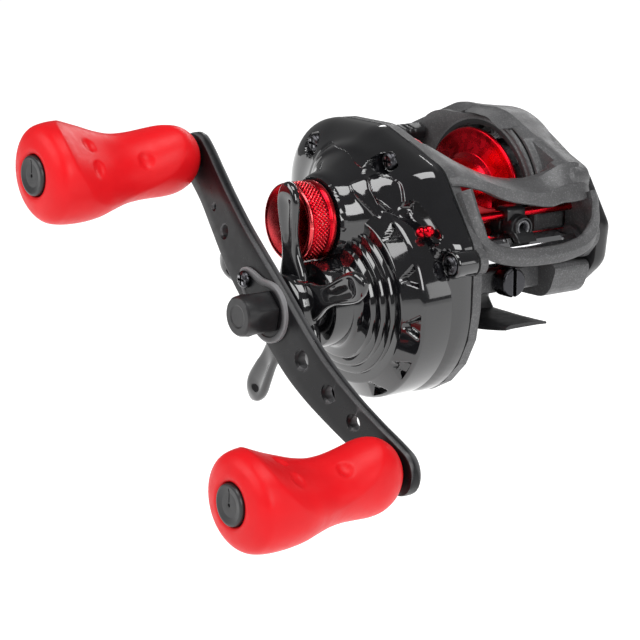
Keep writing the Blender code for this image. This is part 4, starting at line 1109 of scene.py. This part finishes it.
def build_dial():
    dial = skin([
        [about(AXIS, r - notch * (0.5 + 0.5 * math.cos(DIAL_NOTCHES * a)), a, y) for a in angles(288)]
        for r, y, notch in DIAL
    ])
    bar = rounded([(-6.0, -0.9, 0.85), (-6.0, 0.9, 0.85), (6.0, 0.9, 0.85), (6.0, -0.9, 0.85)])
    bar = skin([standing(bar, 30.5), standing(bar, 31.0), standing(inset(bar, 0.25), 31.25)])
    build("cast_brake_dial", merged(dial, bar), "dial", "black", ["brake_dial"])


def build_release_screw():
    at = middle("release_screw")
    front = span("release_screw")[1].x
    shape = [
        (0.0, -8.0), (1.5, -8.0), (1.5, -4.1), (3.1, -4.1), (3.4, -3.8), (3.4, -0.5), (3.05, -0.05),
        (0.0, 0.0),
    ]
    screw = aimed(turned(shape, 80, soft=0.2), (1, 0, 0), (front, at.y, at.z))
    screw = cut(screw, block((front - 1.5, at.y - 0.55, at.z - 4), (front + 1, at.y + 0.55, at.z + 4)))
    build("side_release_screw", screw, "release", "black_steel", ["release_screw"], angle=30,
          bevel=0.08)


def build_thumb_bar():
    """The thumb bar, with a row of grip grooves across its top."""
    y0, y1 = (corner.y for corner in span("thumb_bar"))
    pitch, depth, ribbed = 1.6, 0.28, 9.0
    outline = rounded([
        (-27.4, 6.6, 1.0), (-27.4, 12.0, 2.0), (-23.0, 15.2, 3.0), (-18.6, 14.0, 1.0), (-19.4, 11.6, 1.0),
        (-22.8, 8.6, 2.0),
    ], 10)
    rings = [standing(inset(outline, 0.4), y0)]
    steps = 150
    for k in range(steps + 1):
        y = y0 + 0.3 + (y1 - y0 - 0.6) * k / steps
        groove = depth * max(0.0, math.cos(math.tau * y / pitch)) if abs(y) < ribbed else 0.0
        rings.append([(x, y, z - groove * blend_between(z, 11.5, 13.0)) for x, z in outline])
    rings.append(standing(inset(outline, 0.4), y1))
    build("thumb_release_bar", skin(rings), "thumb", "black", ["thumb_bar"])


# --- studio

def build_studio():
    floor = bpy.data.meshes.new("floor")
    size, level = 4.0, -0.075
    corners = [(-size, -size, level), (size, -size, level), (size, size, level), (-size, size, level)]
    floor.from_pydata(corners, [], [(0, 1, 2, 3)])
    paper = bpy.data.materials.new("white_paper")
    paper.use_nodes = True
    set_inputs(paper.node_tree.nodes["Principled BSDF"], {
        "Base Color": (0.4, 0.4, 0.4, 1.0), "Specular IOR Level": 0.0, "Roughness": 0.9,
        "Emission Color": (1.0, 1.0, 1.0, 1.0), "Emission Strength": 0.9,
    })
    floor.materials.append(paper)
    placed("floor", floor)

    world = bpy.data.worlds.new("studio")
    world.use_nodes = True
    set_inputs(world.node_tree.nodes["Background"], {"Color": (1.0, 1.0, 1.0, 1.0), "Strength": 0.16})
    bpy.context.scene.world = world

    target = Vector((0.005, -0.025, 0.015))
    for name, at, width, height, watts in (
        ("top_softbox", (0.3, -0.1, 1.0), 0.8, 0.5, 7.0),
        ("front_softbox", (-0.3, -1.0, 0.6), 1.1, 0.5, 8.0),
        ("key_softbox", (1.1, -0.2, 0.5), 0.6, 0.5, 6.0),
        ("right_strip", (0.95, 0.65, 0.2), 0.5, 0.3, 1.0),
        ("back_strip", (-0.5, 0.9, 0.5), 0.8, 0.2, 2.5),
    ):
        light = bpy.data.lights.new(name, "AREA")
        light.shape = "RECTANGLE"
        light.size, light.size_y = width, height
        light.energy = watts
        lamp = placed(name, light)
        lamp.location = at
        lamp.rotation_euler = (target - Vector(at)).to_track_quat("-Z", "Y").to_euler()


def build_camera():
    azimuth, elevation, roll = math.radians(52.89), math.radians(12.71), math.radians(0.2)
    back = Vector((math.sin(azimuth) * math.cos(elevation), -math.cos(azimuth) * math.cos(elevation),
                   math.sin(elevation)))
    right = Vector((math.cos(azimuth), math.sin(azimuth), 0.0))
    up = back.cross(right)
    right, up = (math.cos(roll) * right + math.sin(roll) * up, math.cos(roll) * up - math.sin(roll) * right)
    data = bpy.data.cameras.new("camera")
    data.sensor_width = 36.0
    data.lens = 157.2
    data.clip_start = 0.01
    camera = placed("camera", data)
    turn = Matrix((right, up, back)).transposed().to_4x4()
    camera.matrix_world = Matrix.Translation(SPOOL_CENTRE + Vector((0.49383, -0.40823, 0.11620))) @ turn
    bpy.context.scene.camera = camera
    bpy.context.scene.view_settings.view_transform = "Standard"


finish_cad_nodes()
for knob in KNOBS:
    build_knob(knob)
build_handle()
build_handle_nut()
build_star()
build_tension_knob()
build_gear_cover()
build_keeper()
build_hood()
build_sill()
build_spool()
build_level_wind()
build_worm()
build_foot()
build_palm_shell()
build_dial()
build_release_screw()
build_thumb_bar()
soften_frame()
build_studio()
build_camera()

bpy.context.view_layer.update()
